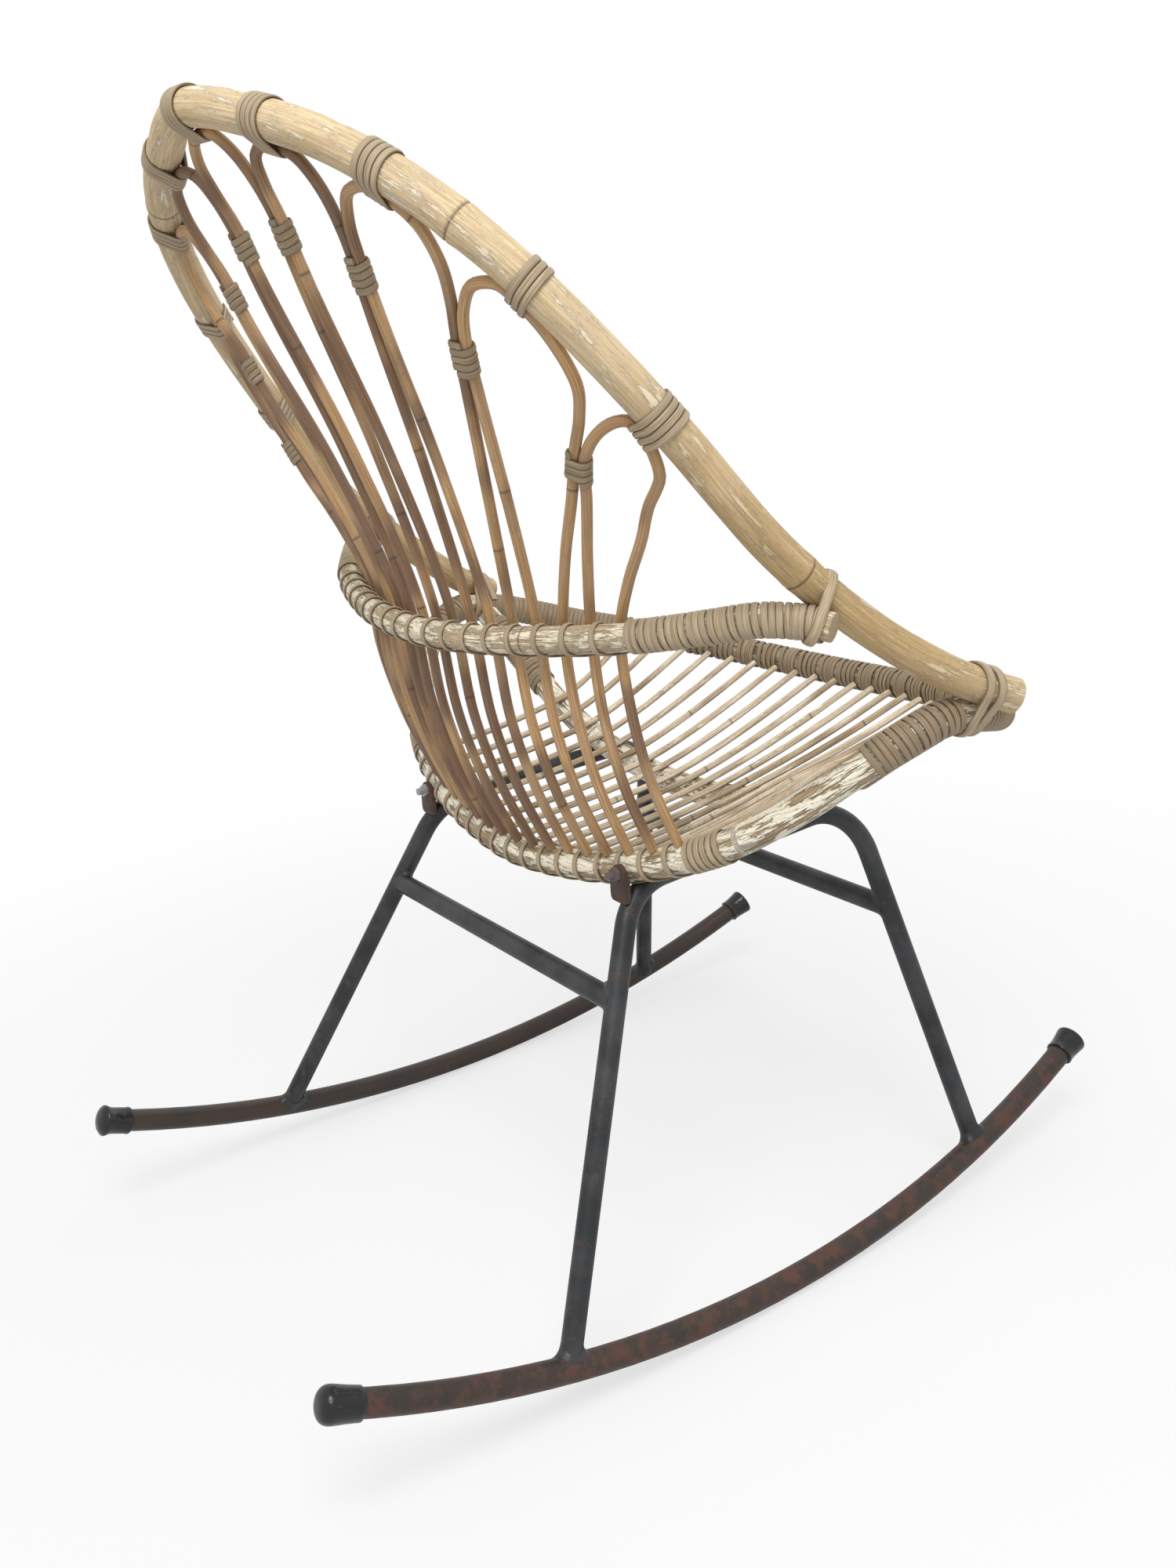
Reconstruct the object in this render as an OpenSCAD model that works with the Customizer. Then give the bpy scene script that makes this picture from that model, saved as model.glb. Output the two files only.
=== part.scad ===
// Rattan rocking chair: a hooped rattan shell on a tubular steel rocker base.
// Millimetres, +Z up, the sitter faces -Y and the left side is +X.
// The chair is drawn upright on the middle of its rockers, then leaned as it rests.

/* [Rockers] */
// Distance between the two rocker tubes where they meet the floor
track_w = 480; // [450:1:510]
// Bend radius of a rocker, to the middle of its tube
rocker_r = 887; // [820:1:960]
// Lean of each rocker's plane towards the middle, in degrees
rocker_lean = 13.2; // [11:0.1:15]
// Arc from the lowest point to the front end, in degrees
rocker_front = 24.6; // [21:0.1:27]
// Arc from the lowest point to the rear end, in degrees
rocker_rear = 22.4; // [19:0.1:25]
// Outside diameter of the rocker tube
rocker_d = 19; // [17:0.5:21]
// Wall of every steel tube
tube_wall = 1.5; // [1:0.1:2.5]
// Nose-down lean at which the empty chair rests, in degrees
rest_lean = 2.5; // [0:0.05:4]

/* [Side frames] */
// Outside diameter of the leg tube
leg_d = 16; // [14:0.5:18]
// Bend radius of the two top corners, to the middle of the tube
frame_bend_r = 50; // [40:1:58]
// Lean of a side frame's plane towards the middle, in degrees
frame_lean = 17.7; // [17:0.1:18.4]
// Reach of the rear foot behind the lowest point
rear_foot_y = 174; // [150:1:200]
// Reach of the front foot ahead of the lowest point
front_foot_y = 240; // [210:1:260]
// Place of the rear top corner behind the lowest point
rear_top_y = 38; // [36:1:40]
// Height of the rear top corner
rear_top_h = 317; // [308:1:328]
// Reach of the front top corner ahead of the lowest point
front_top_y = 187; // [177:1:197]
// Rise of the front top corner above the rear one
top_rise = 15; // [10:1:20]
// Outside diameter of the two cross bars
bar_d = 17; // [14:0.5:18]
// Height of the two cross bars
bar_h = 244; // [200:1:265]

/* [Hoop] */
// Diameter of the hoop pole
hoop_d = 24; // [22:0.5:26]
// Height of the crown, to the middle of the pole
crown_h = 849; // [820:1:880]
// Set-back of the crown behind the lowest point
crown_y = 250; // [235:1:265]
// Half width of the hoop where the arms begin
arm_x = 293; // [287:1:297]
// Height of the hoop where the arms begin
arm_h = 581; // [571:1:591]
// Set-back of the hoop where the arms begin
arm_y = 37; // [31:1:43]

/* [Seat] */
// Diameter of the seat ring pole and of the bearer under the seat
ring_d = 22; // [20:0.5:23]
// Half width of the seat ring at its corners
seat_x = 316; // [311:1:321]
// Set-back of the seat ring's rear
ring_rear_y = 48; // [46:1:52]
// Reach of the seat ring's front ahead of the lowest point
ring_front_y = 305; // [295:1:315]
// Reach of the seat corners ahead of the lowest point
corner_y = 95; // [91:1:99]
// Rise of the seat ring's front above its rear
front_rise = 86; // [80:1:92]
// Rise of the seat corners above the ring's rear
corner_rise = 137; // [132:1:142]
// Reach of the bearer ahead of the lowest point
bearer_y = 131; // [125:1:137]
// Number of seat rods
rods = 18; // [12:2:18]
// Diameter of a seat rod
rod_d = 5.5; // [4:0.5:6]
// Spacing of the rods along the front
rod_pitch_front = 25.8; // [23:0.1:26.5]
// Spacing of the rods and of the back spindles along the ring's rear
rod_pitch_rear = 22; // [21:0.1:22.2]

/* [Back] */
// Diameter of the lumbar ring pole
lumbar_d = 19; // [17:0.5:20]
// Drop of the lumbar ring's back below the start of the arms
lumbar_drop = 80; // [73:1:87]
// Set-back of the lumbar ring at the back
lumbar_y = 120; // [115:1:125]
// Diameter of a back spindle
spindle_d = 7.5; // [6:0.5:8]
// Spacing of the spindles at the lumbar ring
spindle_pitch = 22.3; // [21.5:0.1:22.6]
// Drop of the ties below the hoop
tie_drop = 60; // [54:1:66]

/* [Cane] */
// Width of the binding cane
cane_w = 4.4; // [3.5:0.1:4.6]
// Thickness of the binding cane
cane_t = 1.4; // [1:0.1:1.6]
// Pitch from one turn of a binding to the next
turn_pitch = 5.2; // [5.1:0.1:5.8]
// Turns in a binding round the hoop or in an arch tie
binding_turns = 3; // [2:1:3]
// Thickness of the woven cane round the seat's front
weave_t = 3; // [2:0.1:3.4]
// Half width at which the close winding on the lumbar ring begins
lumbar_wrap_x = 204; // [200:1:230]
// Half width at which the close winding on the bearer begins
bearer_wrap_x = 212; // [205:1:230]

/* [Hidden] */
// Clearance between two pieces that are bound together
touch = 0.2;
floor_lift = rocker_d / 2;
fine = 48;

// Vector helpers
function unit(v) = v / norm(v);
function flip(p) = [-p.x, p.y, p.z];
function side(x, p) = x < 0 ? flip(p) : p;
function mirrored(m) = concat([for (i = [len(m) - 1:-1:1]) flip(m[i])], m);
function lerp(a, b, t) = a + (b - a) * t;
function share(a, b, q) =
    [lerp(a.x, b.x, q[0]), lerp(a.y, b.y, q[1]), lerp(a.z, b.z, q[2])];

// Smooth curve through the marks m: its point and heading at mark number u
function mark(m, i) =
    i < 0 ? 2 * m[0] - m[1] :
    i > len(m) - 1 ? 2 * m[len(m) - 1] - m[len(m) - 2] : m[i];
function blend(a, b, c, d, t) =
    let (x = norm(b - a), y = norm(c - b), z = norm(d - c),
        p = c - b + y * ((b - a) / x - (c - a) / (x + y)),
        q = c - b + y * ((d - c) / z - (d - b) / (y + z)),
        t2 = t * t, t3 = t2 * t)
    (2 * t3 - 3 * t2 + 1) * b + (t3 - 2 * t2 + t) * p
    + (3 * t2 - 2 * t3) * c + (t3 - t2) * q;
function on(m, u) =
    let (i = max(0, min(floor(u), len(m) - 2)))
    blend(mark(m, i - 1), mark(m, i), mark(m, i + 1), mark(m, i + 2), u - i);
function heading(m, u) = unit(on(m, u + 0.01) - on(m, u - 0.01));
function run(m, n, u0, u1) = [for (i = [0:n]) on(m, lerp(u0, u1, i / n))];

// Mark number at which m passes x, where its x grows from mark lo to mark hi
function at_x(m, x, lo, hi, left = 14) =
    let (mid = (lo + hi) / 2)
    left == 0 ? mid :
    on(m, mid).x < x ? at_x(m, x, mid, hi, left - 1) : at_x(m, x, lo, mid, left - 1);

// Skin over a run of sections, with flat ends or joined end to end
module skin(sections, loop = false) {
    n = len(sections);
    s = len(sections[0]);
    walls = [for (i = [0:n - (loop ? 1 : 2)], j = [0:s - 1])
        let (a = i * s, b = (i + 1) % n * s, k = (j + 1) % s)
        each [[a + j, a + k, b + k], [a + j, b + k, b + j]]];
    ends = loop ? [] : [
        [for (j = [s - 1:-1:0]) j],
        [for (j = [0:s - 1]) (n - 1) * s + j]];
    polyhedron([for (q = sections) each q], concat(walls, ends));
}

// Round section about p, square to the heading t; the guide g fixes where it starts
function disc(p, t, g, r, sides) =
    let (e = unit(cross(g, t)), f = cross(e, t))
    [for (j = [0:sides - 1]) p + r * (cos(360 * j / sides) * e + sin(360 * j / sides) * f)];
function steer(path, i) = unit(path[min(i + 1, len(path) - 1)] - path[max(i - 1, 0)]);
module pole(path, d, sides, g) {
    skin([for (i = [0:len(path) - 1]) disc(path[i], steer(path, i), g, d / 2, sides)]);
}

// Close winding drawn as one sleeve round a pole of diameter d
module sleeve(path, d, thick, sides, g) {
    n = len(path);
    s = sides;
    inner = (d / 2 + touch) / cos(180 / s);
    far = n * s;
    e = far - s;
    pts = [for (r = [d / 2 + touch + thick, inner], i = [0:n - 1])
        each disc(path[i], steer(path, i), g, r, s)];
    polyhedron(pts, [
        for (i = [0:n - 2], j = [0:s - 1])
            let (a = i * s, b = a + s, k = (j + 1) % s)
            each [[a + j, a + k, b + k], [a + j, b + k, b + j],
                [far + a + j, far + b + k, far + a + k],
                [far + a + j, far + b + j, far + b + k]],
        for (j = [0:s - 1])
            let (k = (j + 1) % s)
            each [[j, far + k, k], [j, far + j, far + k],
                [e + j, e + k, far + e + k], [e + j, far + e + k, far + e + j]]]);
}

// Flat cane: its section at p, lying along t with its outer face towards n
function strip(p, t, n) = [
    p - t * cane_w / 2 - n * cane_t / 2, p + t * cane_w / 2 - n * cane_t / 2,
    p + t * cane_w / 2 + n * cane_t / 2, p - t * cane_w / 2 + n * cane_t / 2];

// Cane bound round two poles that touch near p1 and p2 and run along h1 and h2.
// Its sections follow the hull of two many-sided outlines, one round each pole, so the
// cane lies against both, and they climb along the poles turn by turn.
function bound(p1, h1, r1, p2, h2, r2, turns, steps) =
    let (t = unit(h1 + h2), e = unit(p2 - p1 - t * ((p2 - p1) * t)), f = cross(t, e),
        half = 180 / steps,
        c1 = (r1 + touch + cane_t / 2) / cos(half) / (h1 * t),
        c2 = (r2 + touch + cane_t / 2) / cos(half) / (h2 * t))
    [for (k = [0:turns * steps])
        let (a = 360 * k / steps + 90,
            n = cos(a) * e + sin(a) * f,
            before = cos(a - half) * e + sin(a - half) * f,
            after = cos(a + half) * e + sin(a + half) * f,
            rise = turn_pitch * (k / steps - turns / 2),
            q1 = p1 + h1 * rise / (h1 * t),
            q2 = p2 + h2 * (rise + (p1 - p2) * t) / (h2 * t),
            lead = (q1 - q2) * before + (c1 - c2) * cos(half) > 0,
            trail = (q1 - q2) * after + (c1 - c2) * cos(half) > 0,
            s1 = strip(q1 + c1 * n, t, n), s2 = strip(q2 + c2 * n, t, n))
        each lead == trail ? [lead ? s1 : s2] : lead ? [s1, s2] : [s2, s1]];

// Cane wound openly round the curve m of radius r, with one turn in each gap between
// the rods or spindles. Under the pole it steps over to the next gap.
function step_over(f) = f < 0.5 ? min(0.5, 3.6 * f) : max(0.5, 3.6 * f - 2.6);
function wound(m, x0, turns, pitch, r, steps) =
    [for (i = [0:turns - 1], j = [0:steps - (i < turns - 1 ? 1 : 0)])
        let (x = x0 + pitch * (i + step_over(j / steps)), u = at_x(m, x, 0, len(m) - 1),
            t = heading(m, u), e = unit(cross(UP, t)), f = cross(t, e),
            a = 360 * j / steps - 90, n = cos(a) * e + sin(a) * f)
        strip(on(m, u) + (r + 2 * touch + cane_t / 2) / cos(180 / steps) * n, t, n)];

// Least gap between one turn of a winding and the next, from edge to edge
function turn_gap(w, steps) =
    min([for (k = [0:len(w) - 1 - steps], a = [0, 1], b = [0, 1])
        norm(w[k][a] - w[k + steps][b])]);

// Guides that never run along the poles that they steer
UP = [0, 0, 1];
ALONG = [0, 1, 0];

// Side frames: where the frame's plane stands at height h, and the top tube's height at y
function frame_x(h) = track_w / 2 - (h - floor_lift) * tan(frame_lean);
function top_h(y) = rear_top_h + top_rise * (rear_top_y - y) / (rear_top_y + front_top_y);
top_x = frame_x(top_h(-bearer_y));

// Seat ring: one pole bent to a closed saddle, low at the rear and high at the corners.
// Its marks are shares of the run from the middle out to the corner.
REAR = [[0, 0, 0], [0.218, 0.035, 0.036], [0.396, 0.084, 0.109], [0.566, 0.175, 0.226],
    [0.725, 0.315, 0.401], [0.842, 0.483, 0.606], [0.943, 0.699, 0.839], [1, 1, 1]];
FRONT = [[0.981, 0.762, 0.88], [0.94, 0.643, 0.745], [0.837, 0.486, 0.545],
    [0.693, 0.338, 0.404], [0.475, 0.133, 0.183], [0.237, 0.027, 0.044], [0, 0, 0]];
ring_rear_h = rear_top_h - 4.1;
corner = [seat_x, -corner_y, ring_rear_h + corner_rise];
ring_rear = [0, ring_rear_y, ring_rear_h];
ring_front = [0, -ring_front_y, ring_rear_h + front_rise];
ring_half = concat(
    [for (q = REAR) share(ring_rear, corner, q)],
    [for (q = FRONT) share(ring_front, corner, q)]);
rear_n = len(REAR) - 1;
front_n = len(ring_half) - 1;
ring_m = concat([flip(ring_half[1])], ring_half, [flip(ring_half[front_n - 1])]);
rear_m = mirrored([for (i = [0:rear_n]) ring_half[i]]);
function ring_at(u) = on(ring_m, u + 1);
function ring_dir(u) = heading(ring_m, u + 1);
function rear_u(x) = at_x(ring_m, abs(x), 1, rear_n + 1) - 1;
function rail_u(x) = at_x(ring_m, abs(x), front_n + 1, rear_n + 1) - 1;
function rear_point(x) = side(x, ring_at(rear_u(x)));

// Point on the skin of a pole of radius r at p that runs along h, on the side of v, where
// the square end of a stick of radius s that comes along v rests
function land(p, h, v, r, s) =
    let (e = unit(v - h * (v * h)), c = unit(v) * e)
    p + e * (r + 2 * touch + s * sqrt(1 - c * c));

// Hoop: the crown lies in one leaning plane, marked as shares of the run down to the
// arms; below them the pole sweeps forward and over the seat ring's corners.
CROWN = [[0, 0, 0], [0.235, 0.047, 0.047], [0.45, 0.122, 0.122], [0.638, 0.24, 0.24],
    [0.785, 0.404, 0.404], [0.88, 0.592, 0.592], [0.949, 0.794, 0.794]];
arm = [arm_x, arm_y, arm_h];
over = corner + [6, -6, 27.7 + (hoop_d - 24 + ring_d - 22) / 2];
hoop_half = concat(
    [for (q = CROWN) share([0, crown_y, crown_h], arm, q)],
    [arm, lerp(arm, over, 0.4) + [-5, 2, -5], lerp(arm, over, 0.8) + [-5, 2, -3],
    over, over + [14, -40, -17]]);
hoop_m = mirrored(hoop_half);
crown_n = len(hoop_half) - 1;
arm_n = len(CROWN);
HOOP_GUIDE = unit(cross([1, 0, 0], [0, crown_y - arm_y, crown_h - arm_h]));
function hoop_at(s) = on(hoop_m, crown_n + s);
function hoop_dir(s) = heading(hoop_m, crown_n + s);

// Bearer: a cross pole from corner to corner that lies on both side frames
bearer_seat = [top_x, 4 - bearer_y, top_h(4 - bearer_y) + (leg_d + ring_d) / 2 + 3 * touch];
bearer_end = corner + [-20, -21, -8];
bearer_half = [
    bearer_seat + [-top_x, -4, -23],
    bearer_seat + [-top_x / 2, -3, -17],
    bearer_seat,
    share(bearer_seat, bearer_end, [0.33, 0.3, 0.25]),
    share(bearer_seat, bearer_end, [0.64, 0.6, 0.6]),
    bearer_end];
bearer_m = mirrored(bearer_half);
bearer_n = len(bearer_half) - 1;

// Lumbar ring: it slopes up to the arms, where it passes against the hoop's underside
LUMBAR = [[0, 1], [0.17, 0.965], [0.304, 0.905], [0.4125, 0.83], [0.541, 0.72],
    [0.683, 0.567], [0.802, 0.382], [0.92, 0.178]];
lumbar_h = arm_h - lumbar_drop;
lumbar_slope = 0.3;
lumbar_meet = 0.82;
arm_under = on(hoop_half, arm_n + lumbar_meet);
arm_touch = arm_under
    + (hoop_d / 2 + lumbar_d / 2 + touch) * unit([0.25, 0.65, -0.75]);
lumbar_half = concat(
    [for (q = LUMBAR)
        let (y = lerp(arm_touch.y, lumbar_y, q[1]))
        [q[0] * arm_touch.x, y, lumbar_h + (lumbar_y - y) * lumbar_slope]],
    [arm_touch, arm_touch + [11, -6, -2]]);
lumbar_m = mirrored(lumbar_half);
lumbar_n = len(lumbar_half) - 1;

// Back arches: the stations of the hoop's bindings, in marks from the crown, and how far
// in and forward of the hoop each tie stands
STATIONS = [5.7, 4.32, 2.77, 1.3, 0, -1.3, -2.77, -4.32, -5.7];
TIES = [[-27, -9, -48], [-41, -9, -55], [-43, -18, -59], [-28, -28, -61], [-9, -33, -60]];
arches = len(STATIONS);
legs = 2 * arches;
function tie_at(j) =
    j == 0 ? hoop_at(STATIONS[0]) + TIES[0] * tie_drop / 60 :
    2 * j > arches ? flip(tie_at(arches - j)) :
    hoop_at((STATIONS[j - 1] + STATIONS[j]) / 2) + TIES[j] * tie_drop / 60;
function tie_across(j) = unit(tie_at(min(j + 1, arches)) - tie_at(max(j - 1, 0)));
function leg_x(i, pitch) = pitch * (legs / 2 - 0.5 - i);

// Leg i from its foot on the seat ring up to where it passes inside the lumbar ring
FOOT_RISE = unit([0, 0.35, 0.94]);
function foot(i) =
    let (x = leg_x(i, rod_pitch_rear), u = rear_u(x))
    side(x, land(ring_at(u), ring_dir(u), FOOT_RISE, ring_d / 2, spindle_d / 2));
function lumbar_pass(i) =
    let (u = at_x(lumbar_m, leg_x(i, spindle_pitch), 0, 2 * lumbar_n),
        outward = unit(cross([0, lumbar_slope, 1], heading(lumbar_m, u))))
    on(lumbar_m, u) - outward * (lumbar_d / 2 + spindle_d / 2 + touch);
function leg_run(i) =
    let (a = foot(i), c = lumbar_pass(i), bow = [0, 0.055 * norm(c - a), 0])
    [a, lerp(a, c, 0.3) + 0.9 * bow, lerp(a, c, 0.62) + bow, c];

// Arch k from foot to foot, by way of its two ties and the hoop
ARCH = [[-0.92, 0.72], [-0.55, 0.94], [0, 1], [0.55, 0.94], [0.92, 0.72]];
OUTER = [[-0.88, 0.5], [-0.5, 0.9], [0, 1], [0.5, 0.9], [0.88, 0.5]];
function arch_mark(k, i) =
    (k == 0 && i < 2) || (k == arches - 1 && i > 2) ? OUTER[i] : ARCH[i];
function arch_marks(k) =
    let (b = hoop_at(STATIONS[k]), t = hoop_dir(STATIONS[k]),
        l = tie_at(k) + tie_across(k) * (k == 0 ? 0 : spindle_d / 2 + touch),
        r = tie_at(k + 1) - tie_across(k + 1) * (k == arches - 1 ? 0 : spindle_d / 2 + touch),
        mid = (l + r) / 2, drop = mid - b, half = (r - l) / 2,
        inward = unit(drop - t * (drop * t)), level = half - inward * (half * inward),
        apex = b + inward * (hoop_d / 2 + spindle_d / 2 + 2 * touch),
        left = leg_run(2 * k), right = leg_run(2 * k + 1))
    concat(left, [below(l, left), l],
        [for (i = [0:4])
            let (q = arch_mark(k, i))
            i % 4 == 0 ? mid + half * q[0] + (apex - mid) * q[1] :
            apex + level * q[0] + (mid - apex) * (1 - q[1])],
        [r, below(r, right)], [for (i = [len(right) - 1:-1:0]) right[i]]);
function below(p, leg) = p + unit(leg[len(leg) - 1] - p) * tie_drop / 2;
left_tie = 5;
apex_mark = 8;
right_tie = 11;

// Rings along an arch: few on the straight of a leg, more round the bends
ARCH_RUN = [0, 1, 2, 3, 3.5, 4, 5, 5.5, 6, 6.5, 7, 7.5, 8,
    8.5, 9, 9.5, 10, 10.5, 11, 12, 12.5, 13, 14, 15, 16];

// Seat rod i: from the front rail over the bearer to the front of the ring's rear
function rod_x(i, pitch) = pitch * (rods / 2 - 0.5 - i);
function rod_marks(i) =
    let (xf = rod_x(i, rod_pitch_front), xr = rod_x(i, rod_pitch_rear),
        fu = rail_u(xf), ru = rear_u(xr),
        u = at_x(bearer_m, 0.93 * lerp(xf, xr, 0.72), 0, 2 * bearer_n),
        h = heading(bearer_m, u), up = unit(UP - h * (UP * h)),
        m = on(bearer_m, u) + up * ((ring_d + rod_d) / 2 + 2 * touch),
        a = side(xf, land(ring_at(fu), ring_dir(fu), unit(side(xf, m) - ring_at(fu)),
            ring_d / 2 + weave_t + touch, rod_d / 2)),
        z = side(xr, land(ring_at(ru), ring_dir(ru),
            unit(side(xr, m) - ring_at(ru)) + [0, 0, 0.35], ring_d / 2, rod_d / 2)))
    [a, lerp(a, m, 0.55) - [0, 0, 3], m, lerp(m, z, 0.5) - [0, 0, 3], z];

// Rest: lean about the rockers' low points, lift back to the floor, centre front to back
flare_r = 13;
bulb_r = 13;
flare_out = 6;
bulb_out = 4;
function rocker_pt(a) = [
    track_w / 2 - rocker_r * sin(rocker_lean) * (1 - cos(a)), rocker_r * sin(a),
    floor_lift + rocker_r * cos(rocker_lean) * (1 - cos(a))];
function rocker_dir(a) =
    [-sin(rocker_lean) * sin(a), cos(a), cos(rocker_lean) * sin(a)];
function leaned_y(p) = p.y * cos(rest_lean) - (p.z - floor_lift) * sin(rest_lean);
front_tip = rocker_pt(-rocker_front) - rocker_dir(-rocker_front) * flare_out;
rear_tip = rocker_pt(rocker_rear) + rocker_dir(rocker_rear) * bulb_out;
front_turn = leaned_y(rocker_dir(-rocker_front) + [0, 0, floor_lift]);
lowest_y = leaned_y(front_tip) - flare_r * sqrt(1 - front_turn * front_turn);
highest_y = leaned_y(rear_tip) + bulb_r;
rest_lift = floor_lift + rocker_r * (sqrt(pow(sin(rest_lean), 2)
    + pow(cos(rocker_lean) * cos(rest_lean), 2)) - cos(rocker_lean) * cos(rest_lean));
module rest() {
    translate([0, -(lowest_y + highest_y) / 2, rest_lift])
        rotate([rest_lean, 0, 0])
            translate([0, 0, -floor_lift])
                children();
}
module both() {
    children();
    mirror([1, 0, 0]) children();
}

// Stand the children's +Z along d at p
module along(p, d) {
    translate(p)
        rotate([0, acos(d.z / norm(d)), atan2(d.y, d.x)])
            children();
}

// Section of a tube; a full one serves as a cutter, and a proud one laps over its neighbour
module tube_section(d, full, proud = 0) {
    difference() {
        circle(d = d + proud, $fn = fine);
        if (!full) circle(d = d - 2 * tube_wall - proud, $fn = fine);
    }
}
module tube(a, b, d, full = false) {
    along(a, b - a) linear_extrude(norm(b - a)) tube_section(d, full);
}

// Arc in the YZ plane about the origin, from angle a0 to a1
module tube_arc(r, d, a0, a1, full = false, proud = 0) {
    rotate([90, 0, 90])
        rotate([0, 0, a0])
            rotate_extrude(angle = a1 - a0, $fn = 2 * fine)
                translate([r, 0])
                    tube_section(d, full, proud);
}

module rocker_shape(d = rocker_d, full = false) {
    translate([track_w / 2, 0, floor_lift])
        rotate([0, -rocker_lean, 0])
            translate([0, 0, rocker_r])
                tube_arc(rocker_r, d, -90 - rocker_front, -90 + rocker_rear, full);
}

// Side frame, drawn in its own leaning plane and then leaned in
function up_plane(h) = (h - floor_lift) / cos(frame_lean);
function foot_h(y) = rocker_pt(asin(y / rocker_r)).z;
FRAME = [
    [0, rear_foot_y, up_plane(foot_h(rear_foot_y))],
    [0, rear_top_y, up_plane(rear_top_h)],
    [0, -front_top_y, up_plane(rear_top_h + top_rise)],
    [0, -front_foot_y, up_plane(foot_h(-front_foot_y))]];
function bend_turn(i) =
    acos(unit(FRAME[i] - FRAME[i - 1]) * unit(FRAME[i + 1] - FRAME[i]));
function bend_cut(i) = frame_bend_r * tan(bend_turn(i) / 2);
function bend_in(i) = FRAME[i] - unit(FRAME[i] - FRAME[i - 1]) * bend_cut(i);
function bend_out(i) = FRAME[i] + unit(FRAME[i + 1] - FRAME[i]) * bend_cut(i);
module bend(i, d, full) {
    // The centre lies square to the tube that runs into the bend
    into = unit(FRAME[i] - FRAME[i - 1]);
    start = atan2(-into.y, into.z);
    translate(bend_in(i) + frame_bend_r * [0, -into.z, into.y])
        tube_arc(frame_bend_r, d, start, start + bend_turn(i), full, bend_proud);
}
bend_proud = 0.06;
lap = 0.4;
module straight(a, b, d, full, before, after) {
    t = unit(b - a);
    tube(a - t * before, b + t * after, d, full);
}
module frame_shape(d = leg_d, full = false) {
    translate([track_w / 2, 0, floor_lift])
        rotate([0, -frame_lean, 0]) {
            straight(FRAME[0], bend_in(1), d, full, 0, lap);
            bend(1, d, full);
            straight(bend_out(1), bend_in(2), d, full, lap, lap);
            bend(2, d, full);
            straight(bend_out(2), FRAME[3], d, full, lap, 0);
        }
}

// Where a leg's middle line passes height h
function leg_y(i, j, h) =
    lerp(FRAME[i].y, FRAME[j].y, (up_plane(h) - FRAME[i].z) / (FRAME[j].z - FRAME[i].z));
module cross_bar(y) {
    difference() {
        tube([-frame_x(bar_h), y, bar_h], [frame_x(bar_h), y, bar_h], bar_d);
        both() frame_shape(leg_d + touch / 2, true);
    }
}

// Caps: a cup over the tube's end, flared at the front and bulbous at the rear
cap_grip = 15;
cap_bore = rocker_d / 2 + 0.3;
module front_cap() {
    along(rocker_pt(-rocker_front), -rocker_dir(-rocker_front))
        rotate_extrude($fn = fine)
            polygon([[cap_bore, -cap_grip], [cap_bore + 1.4, -cap_grip],
                [cap_bore + 1.9, -cap_grip / 2], [flare_r, flare_out - 3],
                [flare_r, flare_out], [0, flare_out], [0, touch], [cap_bore, touch]]);
}
module rear_cap() {
    along(rocker_pt(rocker_rear), rocker_dir(rocker_rear))
        difference() {
            union() {
                translate([0, 0, bulb_out]) sphere(bulb_r, $fn = fine);
                translate([0, 0, -cap_grip])
                    cylinder(cap_grip + bulb_out, r = cap_bore + 1.6, $fn = fine);
            }
            translate([0, 0, -2 * cap_grip])
                cylinder(2 * cap_grip + touch, r = cap_bore, $fn = fine);
        }
}

// Tab that stands on a side frame behind the seat ring, and the screw through it
tab_w = 22;
tab_t = 3;
tab_gap = 2.6;
screw_d = 6;
screw_in = 14;
screw_at = rear_point(frame_x(rear_top_h)) - [0, 0, 2];
tab_y = screw_at.y + ring_d / 2 + tab_gap;
module tab_shape() {
    difference() {
        translate([frame_x(screw_at.z - 16) - tab_w / 2, tab_y, screw_at.z - 22])
            cube([tab_w, tab_t, 29]);
        frame_shape(leg_d + touch / 2, true);
        along([screw_at.x, tab_y - tab_t, screw_at.z], ALONG)
            cylinder(3 * tab_t, d = screw_d + 0.6, $fn = fine);
    }
}
module screw_shape() {
    along([screw_at.x, tab_y + tab_t + touch, screw_at.z], ALONG) {
        cylinder(4, d = 11, $fn = 6);
        translate([0, 0, -tab_t - tab_gap - touch - screw_in])
            cylinder(tab_t + tab_gap + touch + screw_in + 9, d = screw_d, $fn = fine);
    }
}

// Steel pieces
module rocker_left() { color("saddlebrown") rest() rocker_shape(); }
module rocker_right() { mirror([1, 0, 0]) rocker_left(); }
module side_frame_left() {
    color("dimgray") rest()
        difference() {
            frame_shape();
            rocker_shape(rocker_d + touch / 2, true);
        }
}
module side_frame_right() { mirror([1, 0, 0]) side_frame_left(); }
module cross_bar_rear() { color("dimgray") rest() cross_bar(leg_y(0, 1, bar_h)); }
module cross_bar_front() { color("dimgray") rest() cross_bar(leg_y(3, 2, bar_h)); }
module rear_cap_left() { color("black") rest() rear_cap(); }
module rear_cap_right() { mirror([1, 0, 0]) rear_cap_left(); }
module front_cap_left() { color("black") rest() front_cap(); }
module front_cap_right() { mirror([1, 0, 0]) front_cap_left(); }
module ring_tab_left() { color("sienna") rest() tab_shape(); }
module ring_tab_right() { mirror([1, 0, 0]) ring_tab_left(); }
module ring_screws() { color("silver") rest() both() screw_shape(); }

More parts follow.
